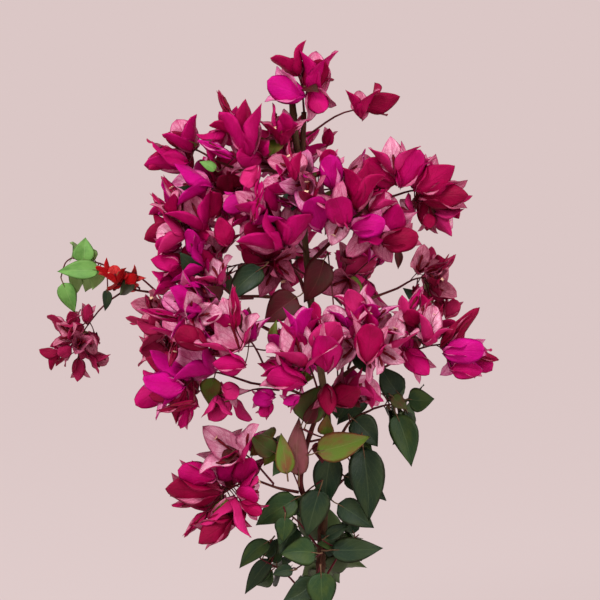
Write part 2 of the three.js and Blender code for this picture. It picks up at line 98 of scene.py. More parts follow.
# Name, parent and place on it, radii at root and tip, and the way the limb takes.
LIMBS = [
    ("main_stem", None, 0, (5.2, 2.6), [
        (0, 0, 0), (2, 0, 50), (4, 0, 100), (7, 0, 160), (10, 3, 210), (13, 6, 269),
        (6, 10, 330), (-3, 12, 390), (-9, 10, 450), (-13, 6, 510), (-11, 0, 588)]),
    ("front_stem", "main_stem", 3.4, (3, 1.4), [
        (-14, -24, 216), (-9, -36, 256), (3, -43, 290), (22, -50, 322), (44, -56, 338),
        (66, -60, 336)]),
    ("bough_low_left", "front_stem", 0.9, (1.6, 1.1), [(-36, -33, 216), (-56, -40, 224)]),
    ("bough_mid_left", "front_stem", 3.2, (1.6, 1.1), [(-24, -52, 313), (-62, -54, 320)]),
    ("bough_left", "main_stem", 7, (2.2, 1.3), [(-38, 4, 402), (-80, -14, 404)]),
    ("bough_far_left", "main_stem", 6.2, (2, 1.1), [
        (-30, 36, 360), (-80, 76, 384), (-140, 104, 402), (-200, 116, 412)]),
    ("bough_up_left", "main_stem", 8.3, (2, 1.2), [(-44, 2, 486), (-92, -16, 498)]),
    ("bough_top_left", "main_stem", 8.9, (1.8, 1.1), [
        (-38, 0, 528), (-68, -6, 528), (-98, -10, 538)]),
    ("bough_right_up", "main_stem", 7.8, (2, 1.2), [
        (16, -8, 458), (42, -24, 484), (72, -34, 500)]),
    ("bough_right_back", "main_stem", 6.6, (1.9, 1.2), [(36, 38, 392), (86, 60, 412)]),
    ("bough_leaf_right", "main_stem", 4.6, (1.7, 1.1), [(34, 10, 276), (58, 12, 290)]),
    ("bough_back_high", "main_stem", 8.1, (2, 1.2), [(-16, 32, 480), (-26, 56, 502)]),
    ("bough_back_mid", "main_stem", 7.1, (2, 1.2), [(-14, 38, 420), (-24, 62, 434)]),
]

# Name, kind, limb and place on it, middle and reach of the mass's space, blooms, bract length,
# how far blooms face outwards (below 0: along the crown's surface), seed.
BLOOM_MASSES = [
    ("top", "magenta", "main_stem", END, (-14, -6, 617), 48, 4, 46, -0.6, 141),
    ("top_right", "magenta", "main_stem", 9.7, (57, -10, 592), 38, 1, 44, -0.6, 405),
    ("upper_mid", "magenta", "main_stem", 9.4, (-40, -16, 564), 42, 3, 36, -0.7, 198),
    ("upper_left", "magenta", "bough_top_left", 1.8, (-79, -24, 568), 48, 5, 42, -0.7, 651),
    ("upper_left_tip", "crimson", "bough_top_left", END, (-138, -8, 552), 44, 4, 38, -0.6, 285),
    ("left_high", "magenta", "bough_up_left", END, (-132, -26, 488), 54, 6, 41, -0.7, 154),
    ("left_mid", "magenta", "bough_left", END, (-116, -34, 424), 50, 6, 41, -0.7, 341),
    ("left_front", "magenta", "bough_left", 1.6, (-124, -64, 378), 54, 6, 43, -0.7, 268),
    ("left_front_large", "magenta", "bough_mid_left", 1.5, (-72, -88, 374), 52, 4, 45, -0.6, 322),
    ("left_low", "magenta", "bough_mid_left", END, (-134, -58, 327), 54, 6, 44, -0.7, 282),
    ("left_low_inner", "rose", "bough_mid_left", 1.3, (-80, -52, 306), 44, 3, 34, 0.2, 330),
    ("left_back", "dull", "bough_far_left", 3, (-158, 38, 372), 46, 5, 36, -0.5, 413),
    ("centre_left", "magenta", "main_stem", 8, (-52, -62, 482), 52, 6, 42, -0.7, 443),
    ("centre_high", "magenta", "main_stem", 8.7, (-12, -62, 512), 48, 4, 39, -0.7, 382),
    ("centre_right", "magenta", "bough_right_up", 1.2, (30, -66, 498), 52, 6, 43, -0.7, 117),
    ("inner_left", "crimson", "main_stem", 7.6, (-50, -22, 438), 44, 4, 36, -0.3, 281),
    ("inner_right", "dull", "main_stem", 7.3, (38, 0, 424), 42, 3, 33, -0.3, 585),
    ("right_high", "magenta", "bough_right_up", 2.6, (78, -34, 538), 46, 5, 40, -0.7, 464),
    ("right_tip", "crimson", "bough_right_up", END, (121, -38, 504), 47, 5, 42, -0.7, 720),
    ("right_mid", "magenta", "bough_right_up", 1.9, (68, -58, 464), 48, 5, 42, -0.6, 273),
    ("right_back", "dull", "bough_right_back", END, (122, 62, 424), 48, 6, 33, -0.5, 479),
    ("centre_front", "magenta", "front_stem", 3.3, (-14, -90, 350), 56, 6, 47, -0.7, 654),
    ("right_front", "rose", "front_stem", 4.5, (48, -84, 370), 56, 6, 41, 0.2, 180),
    ("right_low_inner", "magenta", "front_stem", 3.7, (27, -60, 306), 42, 3, 38, -0.5, 483),
    ("right_low", "magenta", "front_stem", 5.5, (100, -62, 368), 50, 5, 42, -0.7, 477),
    ("right_low_tip", "magenta", "front_stem", END, (142, -56, 358), 46, 4, 42, -0.8, 1288),
    ("low_left_high", "rose", "bough_low_left", 1.3, (-86, -52, 260), 48, 4, 37, 0.1, 196),
    ("low_left", "magenta", "bough_low_left", END, (-98, -48, 206), 54, 6, 43, -0.7, 784),
    ("far_left_red", "red", "bough_far_left", 3.5, (-206, 108, 432), 36, 3, 25, -0.3, 1297),
    ("far_left", "dull", "bough_far_left", END, (-256, 118, 356), 46, 6, 28, -0.5, 213),
    ("back_top", "magenta", "main_stem", 9, (-24, 54, 550), 56, 6, 41, -0.5, 699),
    ("back_left_high", "magenta", "bough_back_high", 1.6, (-96, 54, 512), 56, 6, 41, -0.5, 219),
    ("back_right_high", "magenta", "bough_back_high", END, (46, 60, 512), 56, 6, 41, -0.5, 660),
    ("back_left_low", "magenta", "bough_back_mid", 1.8, (-104, 50, 430), 54, 6, 41, -0.5, 304),
    ("back_mid", "rose", "bough_back_mid", END, (-28, 98, 452), 58, 6, 42, 0.2, 316),
    ("back_right_low", "magenta", "bough_right_back", 1.3, (54, 84, 430), 50, 6, 40, -0.5, 106),
    ("back_low", "magenta", "main_stem", 6.1, (-14, 72, 342), 48, 5, 40, -0.5, 537),
]

# Name, kind, limb and place on it, middle and reach of the mass's space, leaves, leaf length,
# seed.
LEAF_MASSES = [
    ("leaves_right", "green", "bough_leaf_right", END, (86, 6, 292), 54, 7, 42, 603),
    ("leaves_right_mid", "green", "main_stem", 3.9, (42, -12, 228), 56, 8, 54, 401),
    ("leaves_front_left", "bronze", "front_stem", 1.5, (-40, -50, 262), 42, 5, 42, 1277),
    ("leaves_front", "bronze", "front_stem", 2.2, (22, -54, 262), 42, 5, 44, 577),
    ("leaves_left", "green", "main_stem", 2.9, (-32, -26, 190), 52, 7, 48, 153),
    ("leaves_low_left", "green", "main_stem", 1.9, (-46, -12, 136), 52, 6, 40, 1445),
    ("leaves_low_right", "green", "main_stem", 2.4, (38, -10, 160), 50, 5, 46, 834),
    ("leaves_foot", "green", "main_stem", 0.9, (-2, -20, 88), 54, 7, 44, 643),
    ("leaves_back", "green", "main_stem", 2.1, (8, 42, 150), 54, 7, 48, 101),
    ("far_left_leaves", "light", "bough_far_left", 3.8, (-250, 122, 440), 52, 6, 47, 346),
]

# ---- What is finer here than in the solids ------------------------------------------------

FILL_BLOOMS = 2.2                # finer blooms for each bloom of the solids
FILL_TRIES = 30
FILL_FROM = (0.25, 0.85)         # places on an older twig at which finer ones start
FILL_TWIG = (0.12, 0.5)
FILL_SIZE = (0.75, 1.0)
BLOOM_APART = 13                 # least distance between the feet of two blooms
STEM_CLEAR = 2.5                 # bracts stay this far from the limbs' bark
YOUNG_SHARE = 0.16               # of the finer blooms are still closed
YOUNG_OPENING = 0.05
YOUNG_WIDTH = 0.45
YOUNG_BULGE = 0.3
MORE_LEAVES = 2                  # finer leaves for each leaf of the solids
MORE_LEAF_SIZE = 0.7
BLOOM_LEAVES = 2                 # leaves on the shoot of each mass of blooms
BLOOM_LEAF_LENGTH = 30
BLOOM_LEAF_DEPTH = 1 / 4         # leaves stand no further in front of the middle (of the reach)

# What is added to a mass's own seed, or seeds a whole kind of piece.
FILL_SEED = 1000
BLOOM_LEAF_SEED = 2000
MORE_LEAF_SEED = 2500
BLOOM_TINT_SEED = 3000
BRACT_SEED = 4000
FLOWER_SEED = 5000
LEAF_TINT_SEED = 6000
LEAF_SEED = 7000
TWIG_SEED = 8000

BRACT_ALONG = 11                 # quads along and across a bract
BRACT_ACROSS = 8
BRACT_WIDTH = 0.62
BRACT_FOOT = 0.08                # share of its full width at which a bract starts
BRACT_RISE = 0.55                # how fast it widens
BRACT_THICKNESS = 0.25
BRACT_KEEL = 0.26
BRACT_CREASE = 0.012
BRACT_BULGE = 0.4                # radians by which the foot tilts out of the bud
BRACT_BULGE_FADE = 2.4           # how soon that ends
BRACT_BULGE_BACK = 0.12          # and how far the rest leans back in
WAVES_ALONG = 8                  # radians of wave and of crease from foot to tip
CREASES_ALONG = 21
CREASES_ACROSS = 4
FOLD_SOFTNESS = 0.01             # rounds the fold at the midrib of bracts and leaves
# Ranges from which the form of each bract is drawn.
BRACT_TURN = 0.25
BRACT_TWIST = 0.5
BRACT_LENGTHS = (0.94, 1.06)
BRACT_SPREAD = (-0.12, 0.38)
BRACT_FLARE = (-0.1, 0.8)
BRACT_CUP = (0.0, 0.42)
BRACT_WAVE = (0.04, 0.11)
BRACT_WIDTHS = (0.88, 1.12)
BRACT_TIP = (0.55, 1.0)          # from blunt to drawn out

LEAF_ALONG = 12
LEAF_ACROSS = 8
LEAF_THICKNESS = 0.4
LEAF_OUTLINE = (0.06, 0.55, 1.1)
LEAF_RIPPLE = 0.008
LEAF_SWAY = 0.16
LEAF_FOLD = (0.12, 0.4)
LEAF_WAVE = (0.015, 0.05)
LEAF_ARCH = (0.1, 0.34)
PETIOLE = 0.16                   # share of a leaf's length that is its stalk
ATLAS_TILES = 4                  # tiles a side; left half upper sides, right half undersides
TILE_HALF = 0.48                 # of a tile's width is each half of a blade
TILE_STRETCH = 2.08              # brings a blade's margin in its tile to about 1
TILE_EDGE = 0.02                 # of a tile is free at its foot, and this much is used
TILE_SPAN = 0.96
PIECE_TRIANGLES = 190000

# ---- Places read off the photograph, in its pixels ----------------------------------------

VIEW_X = -15                     # millimetres straight behind the photograph's middle
VIEW_Z = 400
VIEW_DISTANCE = 1500
VIEWER = Vector((0, -1, 0))
PHOTO_MIDDLE = 300
HIDE_APART = 19                  # no other bloom stands this near in front of a placed one
HIDE_DEPTH = 8                   # and this little behind its middle also counts as in front
COVER_APART = 20                 # a placed leaf covers what is as near its middle as this
COVER_DEPTH = 4                  # and at least this far behind
LEAF_FORWARDS = 0.12             # how far placed leaves hang towards the viewer
LEAF_FACE_UP = 0.25              # and how far they face upwards
DEPTH_STEP = 3
PHOTO_TRIES = 4
PHOTO_SHRINK = 0.93

# Middle and radius of the holes through which the photograph shows sky.
SKY = [
    (319, 144, 9), (230, 254, 8), (296, 271, 6), (250, 297, 8), (270, 318, 9), (418, 228, 8),
    (382, 284, 13), (408, 274, 9), (348, 352, 6), (256, 352, 9), (218, 377, 4), (250, 393, 9),
    (270, 384, 6), (236, 508, 7), (346, 474, 7), (294, 527, 6), (262, 534, 7), (306, 566, 6),
    (332, 509, 7), (327, 542, 6), (345, 482, 7), (290, 510, 4), (292, 580, 5), (250, 530, 9),
    (280, 419, 7), (311, 440, 5), (356, 580, 16), (386, 568, 16), (396, 500, 14), (396, 530, 14),
    (386, 472, 8), (350, 128, 12), (345, 141, 7), (262, 420, 6), (234, 592, 16), (212, 107, 9),
    (408, 131, 9), (417, 142, 7), (350, 160, 10), (461, 277, 9), (441, 246, 7), (476, 338, 8),
    (240, 412, 10), (186, 516, 10), (142, 200, 6), (136, 374, 6), (120, 245, 7), (138, 262, 6),
    (294, 46, 8), (272, 62, 7), (411, 143, 6), (465, 172, 8), (256, 112, 8), (107, 340, 6),
    (40, 346, 6)]

# Blooms that stand out, in the order in which they are placed. Mass, and for each bloom: pixel
# of the foot, the way the axis points (degrees from straight up, to the right) and how far it
# leans forwards, bract length, opening in radians, turn of the first bract from the front
# (degrees), tint.
PHOTO_BLOOMS = [
    ("top", [
        ((305, 97), -70, 0, 44, 0.2, 0, "violet"), ((309, 86), 152, 4, 36, 0.25, 0, "magenta"),
        ((315, 99), 0, 16, 54, 0.28, 180, "magenta")]),
    ("top_right", [((361, 119), -3, 14, 42, 0.45, 180, "cerise")]),
    ("upper_left_tip", [
        ((192, 152), -22, 10, 40, 0.38, 180, "magenta"), ((190, 163), -82, 5, 44, 0.36, 60, "magenta")]),
    ("upper_left", [
        ((250, 158), -12, 5, 56, 0.3, 180, "magenta"), ((233, 122), -26, 0, 33, 0.05, 0, "crimson"),
        ((262, 156), -98, 5, 40, 0.4, 0, "magenta")]),
    ("upper_mid", [
        ((282, 146), 0, 30, 36, 0.5, 180, "cerise"), ((252, 149), 92, 10, 34, 0.4, 0, "magenta")]),
    ("left_high", [
        ((213, 186), -84, 8, 46, 0.42, 180, "violet"), ((205, 232), -24, 10, 46, 0.42, 180, "magenta"),
        ((200, 228), -62, 25, 44, 0.5, 180, "violet"), ((187, 236), -82, 5, 43, 0.45, 180, "rose"),
        ((206, 222), 24, 5, 37, 0.22, 0, "cerise"), ((182, 244), -94, 0, 34, 0.3, 0, "magenta")]),
    ("centre_left", [
        ((287, 246), 8, 10, 56, 0.4, 160, "magenta"), ((283, 248), -62, 15, 50, 0.5, 180, "magenta"),
        ((228, 246), -15, 0, 32, 0.4, 0, "cerise"), ((258, 165), -150, 0, 26, 0.4, 0, "rose")]),
    ("centre_high", [
        ((326, 171), 6, 0, 29, 0.3, 0, "cerise"), ((322, 230), -22, 8, 46, 0.38, 0, "violet")]),
    ("centre_right", [
        ((345, 226), -22, 10, 46, 0.35, 0, "magenta"), ((336, 176), -4, 0, 30, 0.35, 0, "magenta"),
        ((333, 190), -5, 5, 42, 0.25, 0, "violet"), ((355, 210), 12, 10, 46, 0.45, 180, "cerise"),
        ((368, 212), 55, 5, 34, 0.4, 180, "rose")]),
    ("right_high", [
        ((395, 176), -6, 8, 42, 0.36, 180, "rose"), ((397, 184), -58, 5, 46, 0.25, 0, "cerise"),
        ((400, 188), 28, 5, 46, 0.22, 0, "magenta")]),
    ("right_tip", [
        ((412, 188), 32, 0, 44, 0.3, 120, "rose"), ((416, 192), 56, 5, 44, 0.28, 0, "cerise"),
        ((420, 196), 92, 8, 50, 0.3, 0, "crimson"), ((414, 214), -38, 5, 28, 0.45, 60, "rose"),
        ((428, 213), 176, 5, 28, 0.3, 0, "crimson"), ((434, 211), 126, 5, 32, 0.4, 60, "rose")]),
    ("right_mid", [
        ((384, 243), 22, 8, 44, 0.25, 0, "magenta"), ((380, 242), 84, 5, 40, 0.3, 0, "crimson"),
        ((350, 228), 84, 8, 38, 0.3, 0, "violet")]),
    ("left_mid", [
        ((222, 284), -32, 30, 36, 0.6, 180, "rose"), ((205, 268), -70, 12, 42, 0.5, 180, "violet"),
        ((180, 264), -90, 0, 34, 0.35, 30, "magenta"), ((176, 283), -84, 0, 29, 0.4, 60, "magenta")]),
    ("left_front", [
        ((205, 306), -88, 10, 44, 0.45, 150, "violet"), ((196, 342), -42, 10, 50, 0.42, 180, "magenta"),
        ((208, 346), -66, 5, 34, 0.3, 0, "crimson")]),
    ("left_front_large", [
        ((240, 351), -20, 34, 52, 0.6, 180, "rose"), ((240, 347), 12, 8, 44, 0.4, 0, "violet"),
        ((246, 366), -84, 5, 32, 0.3, 0, "magenta")]),
    ("left_low", [
        ((216, 372), -66, 14, 48, 0.5, 180, "violet"), ((196, 374), -90, 5, 50, 0.38, 60, "violet"),
        ((184, 386), -106, 0, 50, 0.32, 30, "violet"), ((190, 404), -158, 0, 30, 0.2, 0, "magenta"),
        ((196, 402), -104, 0, 37, 0.05, 0, "crimson")]),
    ("left_low_inner", [
        ((216, 396), 175, 15, 28, 0.5, 180, "rose"), ((222, 386), 120, 5, 26, 0.4, 0, "rose")]),
    ("left_back", [((166, 332), -92, 0, 34, 0.4, 60, "dull"), ((168, 350), -88, 0, 36, 0.4, 0, "dull")]),
    ("low_left_high", [((243, 460), -50, 34, 52, 0.55, 180, "rose")]),
    ("low_left", [
        ((236, 492), 84, 4, 33, 0.4, 150, "magenta"), ((246, 488), 88, 0, 21, 0.4, 60, "rose"),
        ((240, 501), 118, 4, 30, 0.35, 0, "cerise")]),
    ("low_left_high", [
        ((241, 487), 16, 10, 44, 0.35, 0, "magenta"), ((236, 484), -28, 15, 40, 0.5, 0, "magenta")]),
    ("low_left", [
        ((216, 479), -74, 5, 38, 0.25, 0, "magenta"), ((222, 493), -84, 2, 54, 0.2, 0, "crimson"),
        ((236, 497), -155, 10, 46, 0.45, 180, "rose"), ((233, 518), -122, 5, 42, 0.2, 0, "crimson"),
        ((232, 500), 160, 5, 32, 0.3, 0, "crimson")]),
    ("far_left_red", [
        ((117, 284), -12, 10, 24, 0.5, 180, "red"), ((127, 284), 50, 5, 22, 0.4, 0, "red")]),
    ("far_left", [
        ((88, 355), 112, 0, 25, 0.35, 60, "dull"), ((79, 358), 180, 0, 28, 0.25, 0, "dull"),
        ((86, 324), 12, 0, 26, 0.35, 0, "dull"), ((72, 347), -126, 0, 24, 0.5, 0, "dull")]),
    ("centre_front", [
        ((304, 368), -16, 32, 52, 0.55, 180, "rose"), ((326, 372), 2, 5, 46, 0.25, 0, "magenta"),
        ((300, 397), -110, 0, 24, 0.3, 0, "violet"), ((306, 384), -74, 8, 44, 0.25, 0, "magenta")]),
    ("left_low_inner", [
        ((275, 396), -98, 0, 26, 0.35, 0, "violet"), ((272, 401), -142, 0, 20, 0.35, 0, "magenta")]),
    ("right_front", [
        ((366, 364), 6, 8, 44, 0.4, 0, "cerise"), ((352, 340), -32, 30, 42, 0.55, 180, "rose"),
        ((364, 324), -24, 0, 40, 0.3, 120, "rose"), ((388, 350), 20, 28, 46, 0.55, 180, "rose")]),
    ("right_low_inner", [
        ((331, 405), 52, 5, 44, 0.3, 0, "crimson"), ((326, 384), 176, 5, 30, 0.25, 0, "crimson"),
        ((361, 378), 148, 0, 32, 0.2, 60, "rose"), ((346, 392), 62, 8, 30, 0.4, 180, "rose")]),
    ("right_low", [
        ((426, 346), 10, 25, 40, 0.5, 180, "rose"), ((424, 340), 30, 0, 38, 0.05, 0, "crimson"),
        ((405, 350), 138, 5, 36, 0.25, 0, "magenta"), ((404, 352), 12, 5, 24, 0.3, 0, "magenta")]),
    ("right_low_tip", [
        ((440, 348), 44, 0, 52, 0.05, 0, "crimson"), ((443, 352), 86, 3, 44, 0.12, 0, "violet"),
        ((450, 369), 91, 8, 32, 0.2, 0, "magenta")]),
    ("right_back", [((446, 319), 28, 0, 26, 0.35, 0, "dull")]),
    ("back_top", [((326, 147), 12, 4, 27, 0.3, 0, "cerise")]),
]

# Leaves that stand out. Mass, and for each leaf: pixel at which the blade starts, depth behind
# the stem, the way it points (degrees from straight down, to the right), blade length, width
# over length, tint.
PHOTO_LEAVES = [
    ("leaves_right_mid", [
        ((363, 447), -40, 5, 72, 0.5, "deep"), ((331, 455), -34, -6, 52, 0.56, "deep"),
        ((338, 504), -30, 59, 42, 0.62, "deep"), ((353, 419), -30, 43, 36, 0.8, "deep")]),
    ("leaves_right", [((366, 397), 6, -48, 40, 0.55, "deep")]),
    ("leaves_right_mid", [((344, 476), -20, 62, 48, 0.5, "deep")]),
    ("leaves_left", [
        ((320, 489), -40, -16, 48, 0.62, "deep"), ((297, 498), -34, -59, 48, 0.58, "green"),
        ((285, 517), -40, -5, 24, 0.8, "green")]),
    ("leaves_low_right", [
        ((326, 537), -24, 122, 26, 0.54, "deep"), ((331, 550), -20, 94, 51, 0.5, "deep")]),
    ("leaves_low_left", [
        ((316, 553), -34, -90, 34, 0.85, "green"), ((269, 541), -20, -49, 40, 0.46, "green"),
        ((270, 559), -10, -37, 43, 0.4, "deep"), ((293, 570), -30, -78, 21, 0.65, "deep")]),
    ("leaves_foot", [((321, 572), -40, 4, 40, 0.74, "green"), ((315, 580), -34, -58, 38, 0.65, "deep")]),
    ("leaves_right", [
        ((408, 399), -10, 92, 26, 0.95, "green"), ((396, 414), -16, 17, 54, 0.52, "green"),
        ((399, 394), -14, -147, 33, 0.8, "deep"), ((392, 396), -24, 51, 20, 0.7, "olive")]),
    ("leaves_front", [
        ((317, 452), -66, 109, 52, 0.56, "bronze"), ((303, 421), -58, 155, 38, 0.85, "olive"),
        ((306, 424), -64, 158, 26, 0.5, "maroon")]),
    ("leaves_front_left", [
        ((275, 453), -56, -130, 30, 0.72, "olive"), ((287, 474), -66, -172, 38, 0.5, "bronze"),
        ((299, 476), -60, 180, 54, 0.42, "mauve")]),
    ("right_low_inner", [((324, 260), -30, -27, 45, 0.66, "maroon")]),
    ("inner_left", [((297, 297), -34, -55, 40, 0.8, "maroon")]),
    ("left_mid", [((262, 268), -50, -46, 46, 0.56, "deep")]),
    ("left_front_large", [((273, 345), -70, 172, 24, 0.42, "bronze")]),
    ("upper_left", [((216, 170), -30, -120, 18, 0.6, "light")]),
    ("inner_right", [((398, 250), -20, 0, 19, 0.45, "maroon")]),
    ("right_back", [((424, 302), 40, -125, 26, 0.55, "deep")]),
    ("far_left_leaves", [
        ((84, 262), 118, 178, 26, 0.95, "light"), ((99, 270), 112, -92, 45, 0.5, "light"),
        ((63, 283), 120, 22, 34, 0.6, "light"), ((107, 290), 104, -8, 22, 0.5, "deep")]),
]

# ---- Chance, directions and curves --------------------------------------------------------


class Chance:
    """The solids' generator of random numbers from 0 to 1."""

    def __init__(self, seed):
        self.state = seed * 7919

    def __call__(self):
        self.state = (self.state + 0x6D2B79F5) & 0xFFFFFFFF
        t = self.state
        t = ((t ^ (t >> 15)) * (1 | t)) & 0xFFFFFFFF
        t = ((t + (((t ^ (t >> 7)) * (61 | t)) & 0xFFFFFFFF)) & 0xFFFFFFFF) ^ t
        return (t ^ (t >> 14)) / 4294967296


def between(ends, share):
    return ends[0] + (ends[1] - ends[0]) * share


def ball_direction(z, turn):
    flat = math.sqrt(max(0, 1 - z * z))
    return Vector((flat * math.cos(turn), flat * math.sin(turn), z))


def any_direction(random):
    z = 2 * random() - 1
    return ball_direction(z, 2 * math.pi * random())


def spread_direction(i, n, turn):
    return ball_direction(1 - (2 * i + 1) / n, turn + i * GOLDEN_ANGLE)


def square_to(direction, wanted):
    side = wanted - direction * wanted.dot(direction)
    if side.length < 1e-5:
        side = Vector((direction.z, 0, -direction.x))
    return side.normalized()


def turned(vector, axis, angle):
    return Quaternion(axis, angle) @ vector


def outward(centre):
    depth = (centre.y - CROWN_AXIS[1]) * CROWN_DEPTH
    return Vector((centre.x - CROWN_AXIS[0], depth, 0)).normalized()


class Curve:
    """A smooth curve through points, whose ends run on straight."""

    def __init__(self, points):
        self.spans = len(points) - 1
        self.knots = [points[0] * 2 - points[1], *points, points[-1] * 2 - points[-2]]

    def _terms(self, t):
        i = min(int(t * self.spans), self.spans - 1)
        a, b, c, d = self.knots[i:i + 4]
        return t * self.spans - i, b, c - a, 2 * a - 5 * b + 4 * c - d, 3 * b - a - 3 * c + d

    def at(self, t):
        w, start, slope, square, cube = self._terms(t)
        return (2 * start + slope * w + square * w ** 2 + cube * w ** 3) / 2

    def tangent(self, t):
        w, _, slope, square, cube = self._terms(t)
        return (slope + 2 * w * square + 3 * w ** 2 * cube).normalized()

    def spread(self, count):
        return [self.at(t) for t in np.linspace(0, 1, count)]

    def length(self):
        points = [self.at(i / 200) for i in range(201)]
        return sum((b - a).length for a, b in zip(points, points[1:]))


# ---- Limbs and the spaces of masses -------------------------------------------------------


class Limb:
    def __init__(self, name, points, radii):
        self.name = name
        self.curve = Curve(points)
        self.last = len(points) - 1
        self.radii = radii

    def probes(self):
        count = math.ceil(self.curve.length() / PROBE_STEP)
        shares = [i / count for i in range(count + 1)]
        return [(self.name, self.curve.at(t), between(self.radii, t)) for t in shares]


def root_on(limb, at, target, radius):
    t = min(at / limb.last, 1)
    point = limb.curve.at(t)
    tangent = limb.curve.tangent(t)
    heading = (target - point).normalized()
    face = square_to(tangent, heading) if t < 1 else tangent
    tilt = math.sqrt(max(0, 1 - heading.dot(face) ** 2))
    clear = (between(limb.radii, t) if t < 1 else 0) + GAP + radius * tilt
    return point + face * clear


class Mass:
    def __init__(self, row, share):
        (self.name, self.kind, limb, at, middle, self.reach, self.count, self.size,
         *self.facing, self.seed) = row
        self.centre = Vector(middle)
        self.carrier = limbs[limb].curve.at(min(at / limbs[limb].last, 1))
        root = root_on(limbs[limb], at, self.centre, SHOOT_RADII[0])
        end = root.lerp(self.centre, share)
        half = root.lerp(end, 0.5) + UP * SHOOT_BOW * (end - root).length
        self.shoot = Limb(self.name, [root, half, end], SHOOT_RADII)
        self.blooms, self.placed, self.leaves, self.stalks = [], [], [], []

    def make_space(self):
        self.walls = []
        for other in masses:
            across = other.centre - self.centre
            distance = across.length
            if other is self or distance > self.reach + other.reach:
                continue
            share = (distance ** 2 + self.reach ** 2 - other.reach ** 2) / (2 * distance)
            self.walls.append((across.normalized(), share - SPACE_MARGIN))
        self.probes = [
            (point, radius) for owner, point, radius in all_probes
            if owner != self.name
            and (point - self.centre).length < self.reach + radius + CLEARANCE]

    def reaches(self, point):
        return point.z > SPACE_MARGIN and (point - self.centre).length <= self.reach

    def holds(self, point):
        if not self.reaches(point):
            return False
        away = point - self.centre
        return all(away.dot(normal) < limit for normal, limit in self.walls)


limbs = {}
for limb_name, parent, place, radii, way in LIMBS:
    way_points = [Vector(p) for p in way]
    if parent:
        way_points.insert(0, root_on(limbs[parent], place, way_points[0], radii[0]))
    limbs[limb_name] = Limb(limb_name, way_points, radii)
bloom_masses = [Mass(row, BLOOM_SHOOT) for row in BLOOM_MASSES]
leaf_masses = [Mass(row, LEAF_SHOOT) for row in LEAF_MASSES]
masses = bloom_masses + leaf_masses
all_probes = [p for limb in [*limbs.values(), *(m.shoot for m in masses)] for p in limb.probes()]
for one_mass in masses:
    one_mass.make_space()
named = {mass.name: mass for mass in masses}

# ---- The rule by which blooms and leaves grow ---------------------------------------------


class Fan:
    """A leaf or bloom as the solids have it: a middle and the corners round it."""

    def __init__(self, middle, corners, **facts):
        self.middle = middle
        self.corners = corners
        self.faces = [(middle, a, b) for a, b in zip(corners, corners[1:] + corners[:1])]
        self.ball = max((corner - middle).length for corner in corners)
        self.__dict__.update(facts)


def make_bloom(base, axis, first, length, opening, hub):
    corners = []
    for k in range(2 * BRACTS):
        around = turned(first, axis, k * math.pi / BRACTS)
        is_tip = k % 2 == 0
        reach = length * (1 if is_tip else BRACT_NOTCH)
        curl = length * (BRACT_CURL if is_tip else 0)
        corners.append(base + axis * math.cos(opening) * reach
                       + around * (math.sin(opening) * reach + curl))
    return Fan(base, corners, axis=axis, first=first, length=length, opening=opening, hub=hub,
               heart=base + axis * length / 2, tint=None)


def make_leaf(base, direction, inner, length):
    normal = square_to(direction, inner)
    side = normal.cross(direction)

    def at(along, across):
        half = across * LEAF_WIDTH / 2
        lift = LEAF_CUP * 2 * abs(half) + LEAF_CURL * along ** 2
        return base + (direction * along + side * half + normal * lift) * length

    outline = [(1, 0), (LEAF_WIDEST, 1), (0, LEAF_FOOT), (0, -LEAF_FOOT), (LEAF_WIDEST, -1)]
    return Fan(at(LEAF_WIDEST, 0), [at(*corner) for corner in outline],
               base=base, direction=direction, normal=normal, length=length,
               width=LEAF_WIDTH * LEAF_FULLNESS, tint=None)


def pierces(start, end, faces):
    ray = (end - start).normalized()
    length = (end - start).length
    for a, b, c in faces:
        hit = intersect_ray_tri(a, b, c, ray, start)
        if hit is not None and (hit - start).length < length:
            return True
    return False


def crosses(faces, others):
    return (any(pierces(a, b, others) or pierces(b, c, others) for a, b, c in faces)
            or any(pierces(a, b, faces) or pierces(b, c, faces) for a, b, c in others))


def near_limb(fan, probes, clearance):
    for point, radius in probes:
        clear = radius + clearance
        if (point - fan.middle).length > fan.ball + clear:
            continue
        for a, b, c in fan.faces:
            if (closest_point_on_tri(point, a, b, c) - point).length < clear:
                return True
    return False


def within(fan, mass, clearance=CLEARANCE):
    """Whether a bloom or leaf keeps to the mass's reach and off the limbs."""
    return (all(mass.reaches(corner) for corner in fan.corners)
            and not near_limb(fan, mass.probes, clearance))


def crosses_any(fan, others):
    return any(crosses(fan.faces, other.faces) for other in others)


def fan_fits(fan, mass, grown, twigs):
    return (all(mass.holds(corner) for corner in fan.corners)
            and not near_limb(fan, mass.probes, CLEARANCE)
            and not any(pierces(hub, base, fan.faces) for hub, base in twigs)
            and not crosses_any(fan, grown))


def distance_to_line(point, start, end):
    along = end - start
    share = max(0, min(1, (point - start).dot(along) / along.length_squared))
    return (start + along * share - point).length


def twig_fits(hub, base, mass, grown):
    return (mass.holds(base)
            and all(distance_to_line(point, hub, base) > radius + CLEARANCE + TWIG_RADIUS
                    for point, radius in mass.probes)
            and not any(pierces(hub, base, fan.faces) for fan in grown))


def try_bloom(mass, random, hub, direction, lengths):
    """One attempt at a bloom: its draws are the same in number wherever it ends."""
    facing = mass.facing[0]
    away = outward(mass.centre)
    axis = any_direction(random) * AXIS_JITTER + direction + UP * AXIS_RISE
    axis = (axis + away * (facing * axis.dot(away) if facing < 0 else facing)).normalized()
    length = mass.size * between(BRACT_SIZE, random())
    opening = between(WIDE_OPEN if facing > 0 else BRACT_OPEN, random())
    first = turned(square_to(axis, UP), axis, 2 * math.pi * random())
    base = hub + direction * mass.reach * between(lengths, random())
    return make_bloom(base, axis, first, length, opening, hub)


